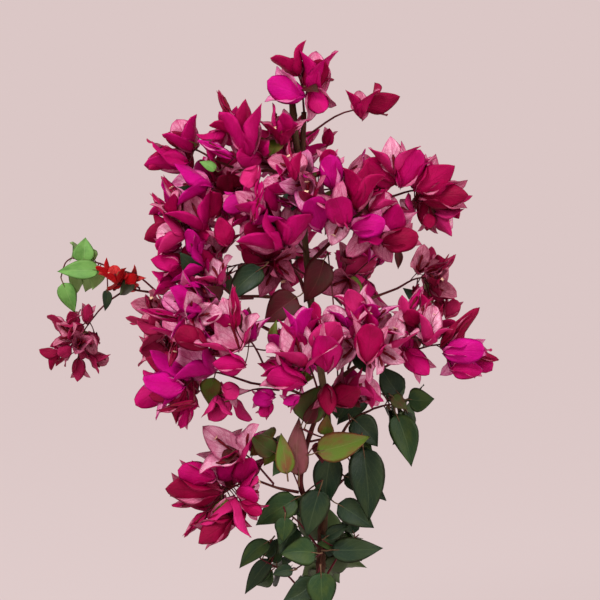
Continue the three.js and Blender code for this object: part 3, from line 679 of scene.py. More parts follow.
def grow_blooms(mass):
    random = Chance(mass.seed)
    turn = 2 * math.pi * random()
    curve = mass.shoot.curve
    first_twig = max(FIRST_TWIG, 1 - TWIG_SPREAD * mass.reach / curve.length())
    twigs = [(curve.at(0), curve.at(1))]
    for i in range(mass.count):
        hub = curve.at(between((first_twig, 1), (i + 0.5) / mass.count))
        for attempt in range(BLOOM_TRIES):
            stray = between(PLACE_JITTER, attempt / BLOOM_TRIES)
            direction = any_direction(random) * stray + spread_direction(i, mass.count, turn)
            direction.normalize()
            bloom = try_bloom(mass, random, hub, direction, TWIG_LENGTH)
            if (bloom.axis.dot(direction) >= TWIG_LEAN
                    and twig_fits(hub, bloom.middle, mass, mass.blooms)
                    and fan_fits(bloom, mass, mass.blooms, twigs)):
                mass.blooms.append(bloom)
                twigs.append((hub, bloom.middle))
                break


def from_photo(pixel, depth):
    """The place that a pixel of the photograph shows at a depth behind the stem."""
    scale = 1 + depth / VIEW_DISTANCE
    return Vector((VIEW_X + (pixel[0] - PHOTO_MIDDLE) * scale, depth,
                   VIEW_Z + (PHOTO_MIDDLE - pixel[1]) * scale))


def to_photo(point):
    scale = VIEW_DISTANCE / (VIEW_DISTANCE + point.y)
    return PHOTO_MIDDLE + (point.x - VIEW_X) * scale, PHOTO_MIDDLE - (point.z - VIEW_Z) * scale


def in_sky(fan):
    spots = [to_photo(point) for point in (fan.middle, *fan.corners)]
    return any(math.dist(spot, pixel) < radius for spot in spots for *pixel, radius in SKY)


def nearest_on(mass, point):
    """The place on the outer half of a mass's shoot that is nearest to a point."""
    places = [mass.shoot.curve.at(0.5 + i / 20) for i in range(11)]
    return min(places, key=lambda place: (place - point).length)


def placed_bloom(mass, row, placed):
    """A bloom at its pixel, as far forwards in its mass's reach as it stands free of others."""
    foot, way, lean, length, opening, turn, tint = row
    way, lean = math.radians(way), math.radians(lean)
    axis = Vector((math.sin(way) * math.cos(lean), -math.sin(lean), math.cos(way) * math.cos(lean)))
    first = turned(square_to(axis, VIEWER), axis, math.radians(turn))
    depths = np.arange(mass.centre.y - mass.reach, mass.centre.y + mass.reach, DEPTH_STEP)
    for attempt in range(PHOTO_TRIES):
        for depth in depths:
            base = from_photo(foot, float(depth))
            bloom = make_bloom(base, axis, first, length, opening, nearest_on(mass, base))
            if within(bloom, mass) and not crosses_any(bloom, placed):
                bloom.tint = tint
                return bloom
        length *= PHOTO_SHRINK
    return None


def place_blooms():
    placed = []
    for name, rows in PHOTO_BLOOMS:
        for row in rows:
            bloom = placed_bloom(named[name], row, placed)
            if bloom:
                placed.append(bloom)
                named[name].placed.append(bloom)
    return placed


def hides(bloom, placed):
    """Whether a bloom would stand in front of one of those placed by the photograph."""
    spot = to_photo(bloom.heart)
    return any(bloom.heart.y < other.heart.y + HIDE_DEPTH
               and math.dist(spot, to_photo(other.heart)) < HIDE_APART for other in placed)


def placed_leaf(foot, depth, way, length, width, tint):
    way = math.radians(way)
    direction = Vector((math.sin(way), -LEAF_FORWARDS, -math.cos(way))).normalized()
    whole = length / (1 - PETIOLE)
    base = from_photo(foot, depth) - direction * PETIOLE * whole
    leaf = make_leaf(base, direction, VIEWER + UP * LEAF_FACE_UP, whole)
    leaf.width, leaf.tint = width, tint
    return leaf


def place_leaves():
    for name, rows in PHOTO_LEAVES:
        mass = named[name]
        for row in rows:
            leaf = placed_leaf(*row)
            mass.leaves.append(leaf)
            mass.stalks.append((nearest_on(mass, leaf.base), leaf))
    return [leaf for mass in masses for leaf in mass.leaves]


def shows(leaf, placed):
    """Whether a leaf of the rule would show where the photograph has none."""
    covers = [to_photo(other.middle) for other in placed
              if other.middle.y + COVER_DEPTH < leaf.middle.y]
    return in_sky(leaf) or not all(
        any(math.dist(to_photo(point), cover) < COVER_APART for cover in covers)
        for point in (leaf.middle, *leaf.corners))


def fill_blooms(mass, feet, placed):
    """Carries the mass on to finer twigs, which leave those that are there."""
    random = Chance(mass.seed + FILL_SEED)
    main = list(mass.blooms)
    for i in range(round(FILL_BLOOMS * mass.count)):
        for attempt in range(FILL_TRIES):
            parent = main[int(random() * len(main))] if main else None
            place = between(FILL_FROM, random())
            hub = parent.hub.lerp(parent.middle, place) if parent else mass.shoot.curve.at(place)
            direction = (any_direction(random) + (hub - mass.centre) / mass.reach).normalized()
            bloom = try_bloom(mass, random, hub, direction, FILL_TWIG)
            scale = between(FILL_SIZE, random())
            opening = YOUNG_OPENING if random() < YOUNG_SHARE else bloom.opening
            bloom = make_bloom(bloom.middle, bloom.axis, bloom.first, bloom.length * scale,
                               opening, hub)
            if (within(bloom, mass, STEM_CLEAR) and not in_sky(bloom)
                    and not hides(bloom, placed)
                    and all((bloom.middle - foot).length >= BLOOM_APART for foot in feet)):
                mass.blooms.append(bloom)
                feet.append(bloom.middle)
                break


def grow_leaves(mass, count, leaf_length, seed, fits):
    random = Chance(seed)
    away = outward(mass.centre)
    turn = 2 * math.pi * random()
    curve = mass.shoot.curve
    for i in range(count):
        t = between((LEAF_START, 1), (i + 0.5) / count)
        base = curve.at(t)
        along = curve.tangent(t)
        first = square_to(along, UP)
        for attempt in range(LEAF_TRIES):
            swing = LEAF_SWING * (2 * random() - 1)
            opening = between(LEAF_OPEN, random())
            length = leaf_length * between(LEAF_SIZE, random())
            around = turned(first, along, turn + i * GOLDEN_ANGLE + swing)
            direction = along * math.cos(opening) + around * math.sin(opening)
            direction = (direction - UP * LEAF_DROOP).normalized()
            inner = any_direction(random) * LEAF_TWIST + away + UP * LEAF_UP
            leaf = make_leaf(base, direction, inner, length)
            if fits(leaf):
                mass.leaves.append(leaf)
                break


def grow_plant():
    for mass in bloom_masses:
        grow_blooms(mass)
    placed = place_blooms()
    placed_leaves = place_leaves()
    for mass in bloom_masses:
        mass.blooms = mass.placed + [bloom for bloom in mass.blooms
                                     if not hides(bloom, placed) and not in_sky(bloom)]
    feet = [bloom.middle for mass in bloom_masses for bloom in mass.blooms]
    for mass in bloom_masses:
        fill_blooms(mass, feet, placed)
        if mass.count > 1:
            front = mass.centre.y - mass.reach * BLOOM_LEAF_DEPTH
            grow_leaves(mass, BLOOM_LEAVES, BLOOM_LEAF_LENGTH, mass.seed + BLOOM_LEAF_SEED,
                        lambda leaf: within(leaf, mass) and not in_sky(leaf)
                        and leaf.middle.y > front)
    for mass in leaf_masses:
        at_back = mass.name == "leaves_back"
        grow_leaves(mass, mass.count, mass.size, mass.seed,
                    lambda leaf: fan_fits(leaf, mass, mass.leaves, [])
                    and (at_back or not shows(leaf, placed_leaves)))
        grow_leaves(mass, MORE_LEAVES * mass.count, mass.size * MORE_LEAF_SIZE,
                    mass.seed + MORE_LEAF_SEED,
                    lambda leaf: within(leaf, mass) and not shows(leaf, placed_leaves)
                    and not crosses_any(leaf, mass.leaves))


# ---- Meshes -------------------------------------------------------------------------------


class Shape:
    """Gathers vertices in millimetres and quads, with a place on the atlas at each corner."""

    def __init__(self):
        self.verts = []
        self.quads = []
        self.uvs = []
        self.count = 0

    def add(self, verts, quads, uvs):
        self.verts.append(verts)
        self.quads.append(quads + self.count)
        self.uvs.append(uvs)
        self.count += len(verts)

    def piece(self, name, material):
        mesh = bpy.data.meshes.new(name)
        quads = np.concatenate(self.quads)
        mesh.from_pydata(np.concatenate(self.verts) * MM, [], quads, shade_flat=False)
        layer = mesh.uv_layers.new(name="OFBake")
        layer.data.foreach_set("uv", np.concatenate(self.uvs).astype(np.float32).ravel())
        mesh.validate()
        mesh.materials.append(material)
        obj = bpy.data.objects.new(name, mesh)
        bpy.context.scene.collection.objects.link(obj)
        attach(obj, "root")
        return obj


def corners_of(grid, order):
    """The corners of each cell of a grid, one way round or the other."""
    corners = [grid[:-1, :-1], grid[1:, :-1], grid[1:, 1:], grid[:-1, 1:]]
    return np.stack([corners[i] for i in order], 2).reshape(-1, 4, *grid.shape[2:])


FRONT_WAY = (0, 1, 2, 3)
BACK_WAY = (0, 3, 2, 1)


def blade_table(along, across):
    """The quads of a closed blade whose two sides share their edge, and each corner's place."""
    rows, columns = along + 1, across + 1
    front = np.arange(rows * columns).reshape(rows, columns)
    back = front.copy()
    inner = np.arange((rows - 2) * (columns - 2)).reshape(rows - 2, columns - 2)
    back[1:-1, 1:-1] = rows * columns + inner
    u, s = np.meshgrid(np.linspace(0, 1, rows), np.linspace(-1, 1, columns), indexing="ij")
    places = np.stack([s, u], -1)
    faces = np.concatenate([corners_of(front, FRONT_WAY), corners_of(back, BACK_WAY)])
    return faces, (corners_of(places, FRONT_WAY), corners_of(places, BACK_WAY))


def atlas(places, tile, underside):
    """The places of a blade's side, from -1..1 and 0..1, in its tile of the atlas."""
    half = ATLAS_TILES // 2
    column = tile % half + (half if underside else 0)
    row = tile // half % ATLAS_TILES
    u = (column + 0.5 + TILE_HALF * places[..., 0]) / ATLAS_TILES
    v = (row + TILE_EDGE + TILE_SPAN * places[..., 1]) / ATLAS_TILES
    return np.stack([u, v], -1)


def add_blade(shape, surface, normals, thickness, table, tile):
    """A closed blade: its upper side lies at surface, its underside just below it."""
    faces, (front, back) = table
    below = (surface - normals * thickness)[1:-1, 1:-1]
    verts = np.concatenate([surface.reshape(-1, 3), below.reshape(-1, 3)])
    uvs = np.concatenate([atlas(front, tile, False), atlas(back, tile, True)])
    shape.add(verts, faces, uvs)


def add_tube(shape, points, radii, sides=6):
    """A closed tube along points."""
    points = np.asarray(points, float)
    ways = np.gradient(points, axis=0)
    ways /= np.linalg.norm(ways, axis=1, keepdims=True)
    start = np.array((0.0, 0.0, 1.0) if abs(ways[0][2]) < 0.8 else (1.0, 0.0, 0.0))
    across = np.empty_like(points)
    for i, way in enumerate(ways):
        start = start - way * start.dot(way)
        start /= np.linalg.norm(start)
        across[i] = start
    turns = np.linspace(0, 2 * np.pi, sides, endpoint=False)[:, None]
    ring = across[:, None] * np.cos(turns) + np.cross(ways, across)[:, None] * np.sin(turns)
    add_rings(shape, points[:, None] + ring * np.reshape(radii, (-1, 1, 1)))


def add_rings(shape, verts):
    """A closed body through rings of points, capped by a small quad fan at each end."""
    rings, sides = verts.shape[:2]
    index = np.arange(rings * sides).reshape(rings, sides)
    walls = corners_of(np.concatenate([index, index[:, :1]], 1), BACK_WAY)
    a = np.arange(0, sides, 2)
    b, c = (a + 1) % sides, (a + 2) % sides
    foot = [np.full(len(a), index.size), index[0, c], index[0, b], index[0, a]]
    tip = [foot[0] + 1, index[-1, a], index[-1, b], index[-1, c]]
    caps = np.stack([np.stack(foot, 1), np.stack(tip, 1)], 1).reshape(-1, 4)
    places = np.stack(np.meshgrid(np.linspace(0, 1, sides + 1), np.linspace(0, 1, rings)), -1)
    uvs = np.concatenate([corners_of(places, BACK_WAY), np.full((len(caps), 4, 2), 0.5)])
    ends = verts[[0, -1]].mean(1)
    shape.add(np.concatenate([verts.reshape(-1, 3), ends]), np.concatenate([walls, caps]),
              (uvs * TILE_SPAN + TILE_EDGE) / ATLAS_TILES)


BRACT_TABLE = blade_table(BRACT_ALONG, BRACT_ACROSS)
LEAF_TABLE = blade_table(LEAF_ALONG, LEAF_ACROSS)


def outline_width(u, foot, rise, fall):
    """Half width along a blade, from 0 to 1: it swells from a narrow foot and runs to a tip."""
    peak = rise / (rise + fall)
    shape = (u / peak) ** rise * ((1 - u) / (1 - peak)) ** fall
    return np.maximum(shape, foot * (1 - u) + 0.01)


def bract_shape(bloom, k, random):
    """A bract's midrib, its upper (inner) surface and the way that surface faces."""
    young = bloom.opening <= YOUNG_OPENING
    grown = 0 if young else 1
    turn = 2 * math.pi * k / BRACTS + BRACT_TURN * (random() - 0.5)
    axis = np.array(bloom.axis)
    around = np.array(turned(bloom.first, bloom.axis, turn))
    side = np.cross(axis, around)
    length = bloom.length * between(BRACT_LENGTHS, random())
    opening = bloom.opening + between(BRACT_SPREAD, random()) * grown
    flare = between(BRACT_FLARE, random()) * grown
    cup = between(BRACT_CUP, random())
    wave = between(BRACT_WAVE, random())
    phase = 2 * math.pi * random()
    twist = BRACT_TWIST * (random() - 0.5)
    width = BRACT_WIDTH * between(BRACT_WIDTHS, random()) * (YOUNG_WIDTH if young else 1)
    tip = between(BRACT_TIP, random())

    # The midrib bows out of the bud at its foot and flares at its tip.
    u = np.linspace(0, 1, BRACT_ALONG + 1)
    bulge = BRACT_BULGE * np.clip(1 - BRACT_BULGE_FADE * u, 0, 1) - BRACT_BULGE_BACK
    bulge *= YOUNG_BULGE if young else 1
    tilt = opening + bulge + flare * u ** 3
    step = length / BRACT_ALONG
    mean = (tilt[1:] + tilt[:-1]) / 2
    outwards = np.concatenate([[0], np.cumsum(np.sin(mean))]) * step
    upwards = np.concatenate([[0], np.cumsum(np.cos(mean))]) * step
    rib = np.array(bloom.middle) + outwards[:, None] * around + upwards[:, None] * axis
    face = -np.cos(tilt)[:, None] * around + np.sin(tilt)[:, None] * axis
    u = u[:, None]
    lean = twist * u
    across = side * np.cos(lean) + face * np.sin(lean)
    face = face * np.cos(lean) - side * np.sin(lean)

    # The blade is keeled, cupped, wavy at its margins and finely creased.
    half = outline_width(u, BRACT_FOOT, BRACT_RISE, tip) * width * length / 2
    s = np.linspace(-1, 1, BRACT_ACROSS + 1)[None, :]
    lift = half * (BRACT_KEEL * np.sqrt(s ** 2 + FOLD_SOFTNESS) + cup * s ** 2 * (1 - 0.6 * u))
    calm = (1 - u ** 3) * length
    lift += wave * calm * np.abs(s) ** 3 * np.sin(WAVES_ALONG * u + phase + 1.2 * np.sign(s))
    creases = np.sin(CREASES_ALONG * u - CREASES_ACROSS * np.abs(s) + phase)
    lift += BRACT_CREASE * calm * creases * (s ** 2 < 0.9)
    sideways = half * s * (1 - 0.12 * cup * s ** 2)
    surface = rib[:, None] + sideways[..., None] * across[:, None] + lift[..., None] * face[:, None]
    return rib, surface, np.broadcast_to(face[:, None], surface.shape)


def leaf_shape(leaf, random):
    """The foot of a leaf's blade, its upper surface and the way that surface faces."""
    direction = np.array(leaf.direction)
    normal = np.array(leaf.normal)
    side = np.cross(normal, direction)
    foot = np.array(leaf.base) + direction * PETIOLE * leaf.length
    length = leaf.length * (1 - PETIOLE)
    fold = between(LEAF_FOLD, random())
    wave = between(LEAF_WAVE, random())
    arch = between(LEAF_ARCH, random())
    phase = 2 * math.pi * random()
    sway = LEAF_SWAY * (random() - 0.5)
    u = np.linspace(0, 1, LEAF_ALONG + 1)[:, None]
    s = np.linspace(-1, 1, LEAF_ACROSS + 1)[None, :]
    half = outline_width(u, *LEAF_OUTLINE) * leaf.width * length / 2
    bow = u * direction - arch * u ** 2 * normal + sway * np.sin(math.pi * u) * side
    rib = foot + length * bow
    lift = half * fold * np.sqrt(s ** 2 + FOLD_SOFTNESS)
    lift += wave * length * s ** 2 * np.sin(7 * u + phase + 1.5 * np.sign(s))
    lift += LEAF_RIPPLE * length * np.cos(2 * np.pi * (6 * u - 1.6 * np.abs(s)))
    surface = rib[:, None] + (half * s)[..., None] * side + lift[..., None] * normal
    return foot, surface, np.broadcast_to(normal, surface.shape)


# ---- Materials ----------------------------------------------------------------------------


def linear(red, green, blue):
    """An sRGB colour of 0 to 255 as Blender's linear colour."""
    def one(value):
        value /= 255
        return value / 12.92 if value <= 0.04045 else ((value + 0.055) / 1.055) ** 2.4
    return one(red), one(green), one(blue), 1


class Value:
    """What one of a material's nodes works out, for sums with others."""

    def __init__(self, nodes, socket):
        self.nodes = nodes
        self.socket = socket

    def __add__(self, other):
        return self.nodes.math("ADD", self, other)

    def __mul__(self, other):
        return self.nodes.math("MULTIPLY", self, other)

    def __sub__(self, other):
        return self.nodes.math("SUBTRACT", self, other)

    def __rsub__(self, other):
        return self.nodes.math("SUBTRACT", other, self)

    def most(self, other):
        return self.nodes.math("MAXIMUM", self, other)


class Nodes:
    """Short names for building one material's nodes."""

    def __init__(self, name, roughness, specular):
        self.material = bpy.data.materials.new(name)
        self.material.use_nodes = True
        self.tree = self.material.node_tree
        self.shader = self.tree.nodes["Principled BSDF"].inputs
        self.shader["Roughness"].default_value = roughness
        self.shader["Specular IOR Level"].default_value = specular
        self.uv = self.node("ShaderNodeUVMap", {}, uv_map="OFBake")

    def node(self, kind, inputs, output=0, **settings):
        node = self.tree.nodes.new(kind)
        for key, value in settings.items():
            setattr(node, key, value)
        for key, value in inputs.items():
            if isinstance(value, Value):
                self.tree.links.new(value.socket, node.inputs[key])
            else:
                node.inputs[key].default_value = value
        return Value(self, node.outputs[output])

    def math(self, operation, a, b=0):
        return self.node("ShaderNodeMath", {0: a, 1: b}, operation=operation)

    def mix(self, share, a, b):
        return self.node("ShaderNodeMix", {0: share, 6: a, 7: b}, 2, data_type="RGBA")

    def ramp(self, value, low, high):
        inputs = {"Value": value, "From Min": low, "From Max": high}
        return self.node("ShaderNodeMapRange", inputs, interpolation_type="SMOOTHSTEP")

    def noise(self, scale, detail=3):
        return self.node("ShaderNodeTexNoise", {"Vector": self.uv, "Scale": scale, "Detail": detail})

    def cells(self, scale):
        inputs = {"Vector": self.uv, "Scale": scale}
        return self.node("ShaderNodeTexVoronoi", inputs, feature="DISTANCE_TO_EDGE")

    def finish(self, colour, height, strength, distance):
        inputs = {"Height": height, "Strength": strength, "Distance": distance}
        bump = self.node("ShaderNodeBump", inputs)
        self.tree.links.new(colour.socket, self.shader["Base Color"])
        self.tree.links.new(bump.socket, self.shader["Normal"])
        return self.material

    def blade(self):
        """Whether a place is on an underside, how far it is from the midrib, and along it."""
        x = self.node("ShaderNodeSeparateXYZ", {0: self.uv})
        y = Value(self, x.socket.node.outputs[1])
        under = self.math("GREATER_THAN", x, 0.5)
        across = self.math("ABSOLUTE", self.math("FRACT", x * ATLAS_TILES) - 0.5) * TILE_STRETCH
        return under, across, self.math("FRACT", y * ATLAS_TILES)

    def veins(self, across, along, pairs, slant, width):
        """1 on the side veins that leave the midrib at a slant, 0 between them."""
        bent = self.math("POWER", across, 0.8) * slant
        place = (along - bent) * pairs + self.noise(14, 2) * 0.9
        off = self.math("ABSOLUTE", self.math("FRACT", place) - 0.5)
        return 1 - self.ramp(off, 0, width)


def bract_material(name, outer, deep, inner, vein):
    """Bracts: a full colour outside, and inside pale between puckered dark veins."""
    n = Nodes("bract_" + name, 0.55, 0.1)
    outside, across, along = n.blade()
    midrib = 1 - n.ramp(across, 0.01, 0.07)
    side_veins = n.veins(across, along, 7, 0.42, 0.13)
    net = 1 - n.ramp(n.cells(58), 0.0, 0.11)
    mottle = n.ramp(n.noise(9, 4), 0.38, 0.64)
    margin = n.ramp(across, 0.72, 1.0)
    lines = (side_veins * 0.75).most(net * 0.6).most(midrib)
    foot = 1 - n.ramp(along, 0.02, 0.42)
    tip = n.ramp(along, 0.78, 1.0)

    wear = n.ramp(n.noise(16, 5), 0.42, 0.62)
    pale = n.mix(wear * 0.5, inner, vein)
    pale = n.mix(lines * 0.75, pale, vein)
    pale = n.mix((margin * 0.6).most(foot * 0.6).most(tip * 0.5), pale, outer)

    full = n.mix(mottle * 0.4, outer, deep)
    full = n.mix(lines * 0.35, full, deep)
    full = n.mix(foot * 0.35, full, deep)
    return n.finish(n.mix(outside, pale, full), n.noise(30, 3) * 0.6 - lines, 0.45, 0.0006)


def leaf_material(name, upper, blotch, under, rim, gloss):
    """Leaves: blotched green with paler veins, a rim of its own colour, dull underneath."""
    n = Nodes("leaf_" + name, gloss, 0.18)
    below, across, along = n.blade()
    midrib = 1 - n.ramp(across, 0.015, 0.06)
    side_veins = n.veins(across, along, 6, 0.5, 0.1)
    net = 1 - n.ramp(n.cells(70), 0.0, 0.1)
    mottle = n.ramp(n.noise(7, 4), 0.4, 0.66)
    margin = n.ramp(across + n.noise(20, 2) * 0.3, 0.92, 1.2)
    lines = (side_veins * 0.5).most(midrib).most(net * 0.22)
    colour = n.mix(mottle, upper, blotch)
    colour = n.mix(below, colour, under)
    colour = n.mix(lines * 0.4, colour, under)
    colour = n.mix(margin * 0.8, colour, rim)
    return n.finish(colour, n.noise(26, 3) * 0.4 - lines, 0.35, 0.0006)


def bark_material(name, base, light, dark, along_scale):
    """Bark: fine furrows and flecks drawn out along the limb."""
    n = Nodes("bark_" + name, 0.8, 0.12)
    stretched = n.node("ShaderNodeMapping", {"Vector": n.uv, "Scale": (26, along_scale, 1)})
    furrow = n.node("ShaderNodeTexNoise", {"Vector": stretched, "Scale": 3, "Detail": 6})
    blotch = n.ramp(n.noise(5, 3), 0.38, 0.62)
    fleck = 1 - n.ramp(n.cells(90), 0.02, 0.16)
    colour = n.mix(n.ramp(furrow, 0.35, 0.62), dark, base)
    colour = n.mix(blotch * 0.55, colour, light)
    colour = n.mix(fleck * 0.3, colour, dark)
    return n.finish(colour, furrow, 0.7, 0.0012)


def plain_material(name, base, dark, roughness):
    """Small smooth things: a base colour with soft darker streaks."""
    n = Nodes(name, roughness, 0.15)
    streak = n.ramp(n.noise(24, 3), 0.35, 0.7)
    return n.finish(n.mix(streak, base, dark), streak, 0.25, 0.0003)


# ---- Pieces -------------------------------------------------------------------------------

# Outer and deep outer colour, inner colour and vein colour of each tint, and its slot.
BRACT_TINTS = {
    "magenta": ((188, 2, 104), (150, 0, 66), (226, 148, 180), (172, 18, 92), "magenta_bracts"),
    "violet": ((196, 4, 130), (162, 0, 90), (230, 154, 192), (180, 20, 112), "magenta_bracts"),
    "cerise": ((172, 0, 80), (130, 0, 50), (220, 138, 170), (156, 14, 74), "magenta_bracts"),
    "crimson": ((146, 0, 58), (106, 0, 36), (204, 112, 146), (130, 12, 54), "crimson_bracts"),
    "rose": ((198, 36, 112), (168, 8, 78), (238, 184, 206), (186, 56, 116), "rose_bracts"),
    "dull": ((172, 30, 84), (128, 12, 50), (212, 134, 158), (146, 34, 74), "dull_bracts"),
    "red": ((196, 14, 24), (144, 4, 12), (212, 60, 60), (150, 8, 18), "red_bracts"),
}
# How often a mass of each kind deals out each tint.
BRACT_SHARES = {
    "magenta": {"magenta": 5, "violet": 3, "cerise": 3, "crimson": 2, "rose": 1},
    "crimson": {"cerise": 3, "crimson": 4, "magenta": 2},
    "rose": {"rose": 5, "magenta": 2, "violet": 1},
    "dull": {"dull": 6, "rose": 1, "crimson": 1},
    "red": {"red": 1},
}
LEAF_TINTS = {
    "green": ((38, 64, 34), (58, 78, 34), (80, 100, 58), (40, 50, 24), 0.45, "green_leaves"),
    "deep": ((26, 47, 30), (42, 58, 32), (72, 88, 58), (42, 40, 24), 0.42, "green_leaves"),
    "bronze": ((84, 108, 30), (112, 72, 40), (112, 124, 60), (112, 30, 36), 0.5, "bronze_leaves"),
    "olive": ((64, 84, 34), (84, 58, 36), (92, 104, 56), (84, 34, 32), 0.5, "bronze_leaves"),
    "mauve": ((120, 62, 68), (94, 56, 44), (134, 90, 82), (100, 34, 44), 0.55, "bronze_leaves"),
    "maroon": ((78, 14, 26), (58, 34, 24), (106, 50, 48), (92, 12, 30), 0.55, "bronze_leaves"),
    "light": ((112, 166, 82), (84, 136, 62), (140, 178, 104), (96, 128, 62), 0.5, "light_leaves"),
}
LEAF_SHARES = {
    "green": {"green": 5, "deep": 4},
    "bronze": {"bronze": 5, "green": 2, "maroon": 1},
    "light": {"light": 1},
    "bloom": {"deep": 3, "bronze": 3, "maroon": 2},
}


def dealt(shares, random):
    """A tint drawn by its share."""
    place = random() * sum(shares.values())
    for tint, share in shares.items():
        place -= share
        if place < 0:
            return tint
    return tint


def chunks(items, triangles_each):
    size = max(1, int(PIECE_TRIANGLES // triangles_each))
    return [items[i:i + size] for i in range(0, len(items), size)]


def by_tint(tints, groups):
    """Blooms or leaves sorted by the tint that each has or is dealt."""
    piles = {tint: [] for tint in tints}
    for things, shares, seed in groups:
        random = Chance(seed)
        for thing in things:
            piles[thing.tint or dealt(shares, random)].append(thing)
    return piles.items()


def make_bracts():
    """Every bract, in pieces by tint; the solids' masses of blooms are hidden."""
    groups = [(mass.blooms, BRACT_SHARES[mass.kind], mass.seed + BLOOM_TINT_SEED)
              for mass in bloom_masses]
    for tint, blooms in by_tint(BRACT_TINTS, groups):
        *colours, slot = BRACT_TINTS[tint]
        material = bract_material(tint, *(linear(*colour) for colour in colours))
        for number, group in enumerate(chunks(blooms, BRACTS * len(BRACT_TABLE[0]) * 2), 1):
            shape = Shape()
            random = Chance(BRACT_SEED + number)
            for bloom in group:
                bloom.ribs = []
                for k in range(BRACTS):
                    rib, surface, normals = bract_shape(bloom, k, random)
                    bloom.ribs.append((rib, normals[:, 0]))
                    tile = int(random() * 2 * ATLAS_TILES)
                    add_blade(shape, surface, normals, BRACT_THICKNESS, BRACT_TABLE, tile)
            piece = shape.piece(f"bracts_{tint}_{number}", material)
    for mass in bloom_masses:
        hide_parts(mass.name)


TUBE_RADII = (0.85, 1.1, 1.35, 1.2, 1.15, 1.6, 0.8)
TUBE_LENGTHS = (0.5, 0.74)       # shares of the bract that carries the flower
TUBE_FOOT = 0.03
STAR_POINTS = 10
STAR_RADIUS = 3.6
STAR_NOTCH = 0.55
OPEN_FLOWERS = 0.12
TUBE_OFF = (1.2, 5.5)            # how far a tube stands off its bract, and leans away above
# Width and height of the ring in the sunken middle, and of each ring of lobes round it.
STAR_MIDDLE = (0.6, -0.6)
STAR_LOBES = [(0.55, -0.1), (1, 0.7), (0.5, 0.45)]


def make_flowers():
    """Three slender flowers in each bloom, some of them open in a small pale star."""
    tubes = Shape()
    stars = Shape()
    random = Chance(FLOWER_SEED)
    blooms = [bloom for mass in bloom_masses for bloom in mass.blooms]
    for rib, face in (side for bloom in blooms for side in bloom.ribs):
        u = np.linspace(TUBE_FOOT, between(TUBE_LENGTHS, random()), len(TUBE_RADII))
        spots = np.linspace(0, 1, len(rib))
        on_rib, off = (np.stack([np.interp(u, spots, line[:, c]) for c in range(3)], 1)
                       for line in (rib, face))
        points = on_rib + off * (TUBE_OFF[0] + TUBE_OFF[1] * u[:, None] ** 1.5)
        add_tube(tubes, points, TUBE_RADII)
        if random() < OPEN_FLOWERS:
            add_star(stars, points[-1], points[-1] - points[-2], random)
    tubes.piece("flower_tubes", plain_material(
        "flower_tube", linear(120, 14, 34), linear(78, 10, 22), 0.5))
    stars.piece("flower_stars", plain_material(
        "flower_star", linear(250, 226, 190), linear(236, 178, 150), 0.55))


def add_star(shape, centre, way, random):
    """The open mouth of a flower: lobes round a sunken middle."""
    way = way / np.linalg.norm(way)
    first = np.array(square_to(Vector(way), UP if abs(way[2]) < 0.9 else Vector((1, 0, 0))))
    turns = (np.linspace(0, 2 * np.pi, STAR_POINTS, endpoint=False) + random())[:, None]
    ring = np.cos(turns) * first + np.sin(turns) * np.cross(way, first)
    lobes = ring * np.where(np.arange(STAR_POINTS) % 2, STAR_NOTCH, 1.0)[:, None] * STAR_RADIUS
    rings = [ring * STAR_MIDDLE[0] + way * STAR_MIDDLE[1]]
    rings += [lobes * share + way * height for share, height in STAR_LOBES]
    add_rings(shape, centre + np.stack(rings))


STALK_RADII = (0.8, 0.65, 0.6, 0.3)
STALK_SAG = 0.6
STALK_SINK = 0.3                 # how deep a stalk ends under the blade's upper side


def make_leaves():
    """Every leaf, by tint, and the stalks on which they stand."""
    groups = [(mass.leaves, LEAF_SHARES["bloom" if mass in bloom_masses else mass.kind],
               mass.seed + LEAF_TINT_SEED) for mass in masses]
    stalks = Shape()
    random = Chance(LEAF_SEED)
    for tint, leaves in by_tint(LEAF_TINTS, groups):
        *colours, gloss, slot = LEAF_TINTS[tint]
        material = leaf_material(tint, *(linear(*colour) for colour in colours), gloss)
        shape = Shape()
        for leaf in leaves:
            foot, surface, normals = leaf_shape(leaf, random)
            tile = int(random() * 2 * ATLAS_TILES)
            add_blade(shape, surface, normals, LEAF_THICKNESS, LEAF_TABLE, tile)
            bend = (np.array(leaf.base) + foot) / 2 - np.array((0, 0, STALK_SAG))
            start, inside = surface[[0, 2], LEAF_ACROSS // 2]
            inside = inside - normals[0, 0] * STALK_SINK
            add_tube(stalks, [leaf.base, bend, start, inside], STALK_RADII)
        shape.piece("leaves_" + tint, material)
    for mass in leaf_masses:
        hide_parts(mass.name)
    stalks.piece("leaf_stalks", plain_material(
        "leaf_stalk", linear(108, 92, 62), linear(96, 52, 48), 0.5))


SHOOT_TAPER = 0.7
TWIG_RADII = (0.75, 0.6, 0.55, 0.55, 0.7, 1.2)
TWIG_SAG = 0.12
TWIG_BEND = 0.55                 # share of a twig at which it bends
TWIG_INTO = 1.5                  # how far it runs on into its bloom
LEAF_TWIG_RADIUS = 0.75
LEAF_TWIG_POINTS = 7
LEAF_TWIG_RISE = 2
LEAF_TWIG_BACK = 3


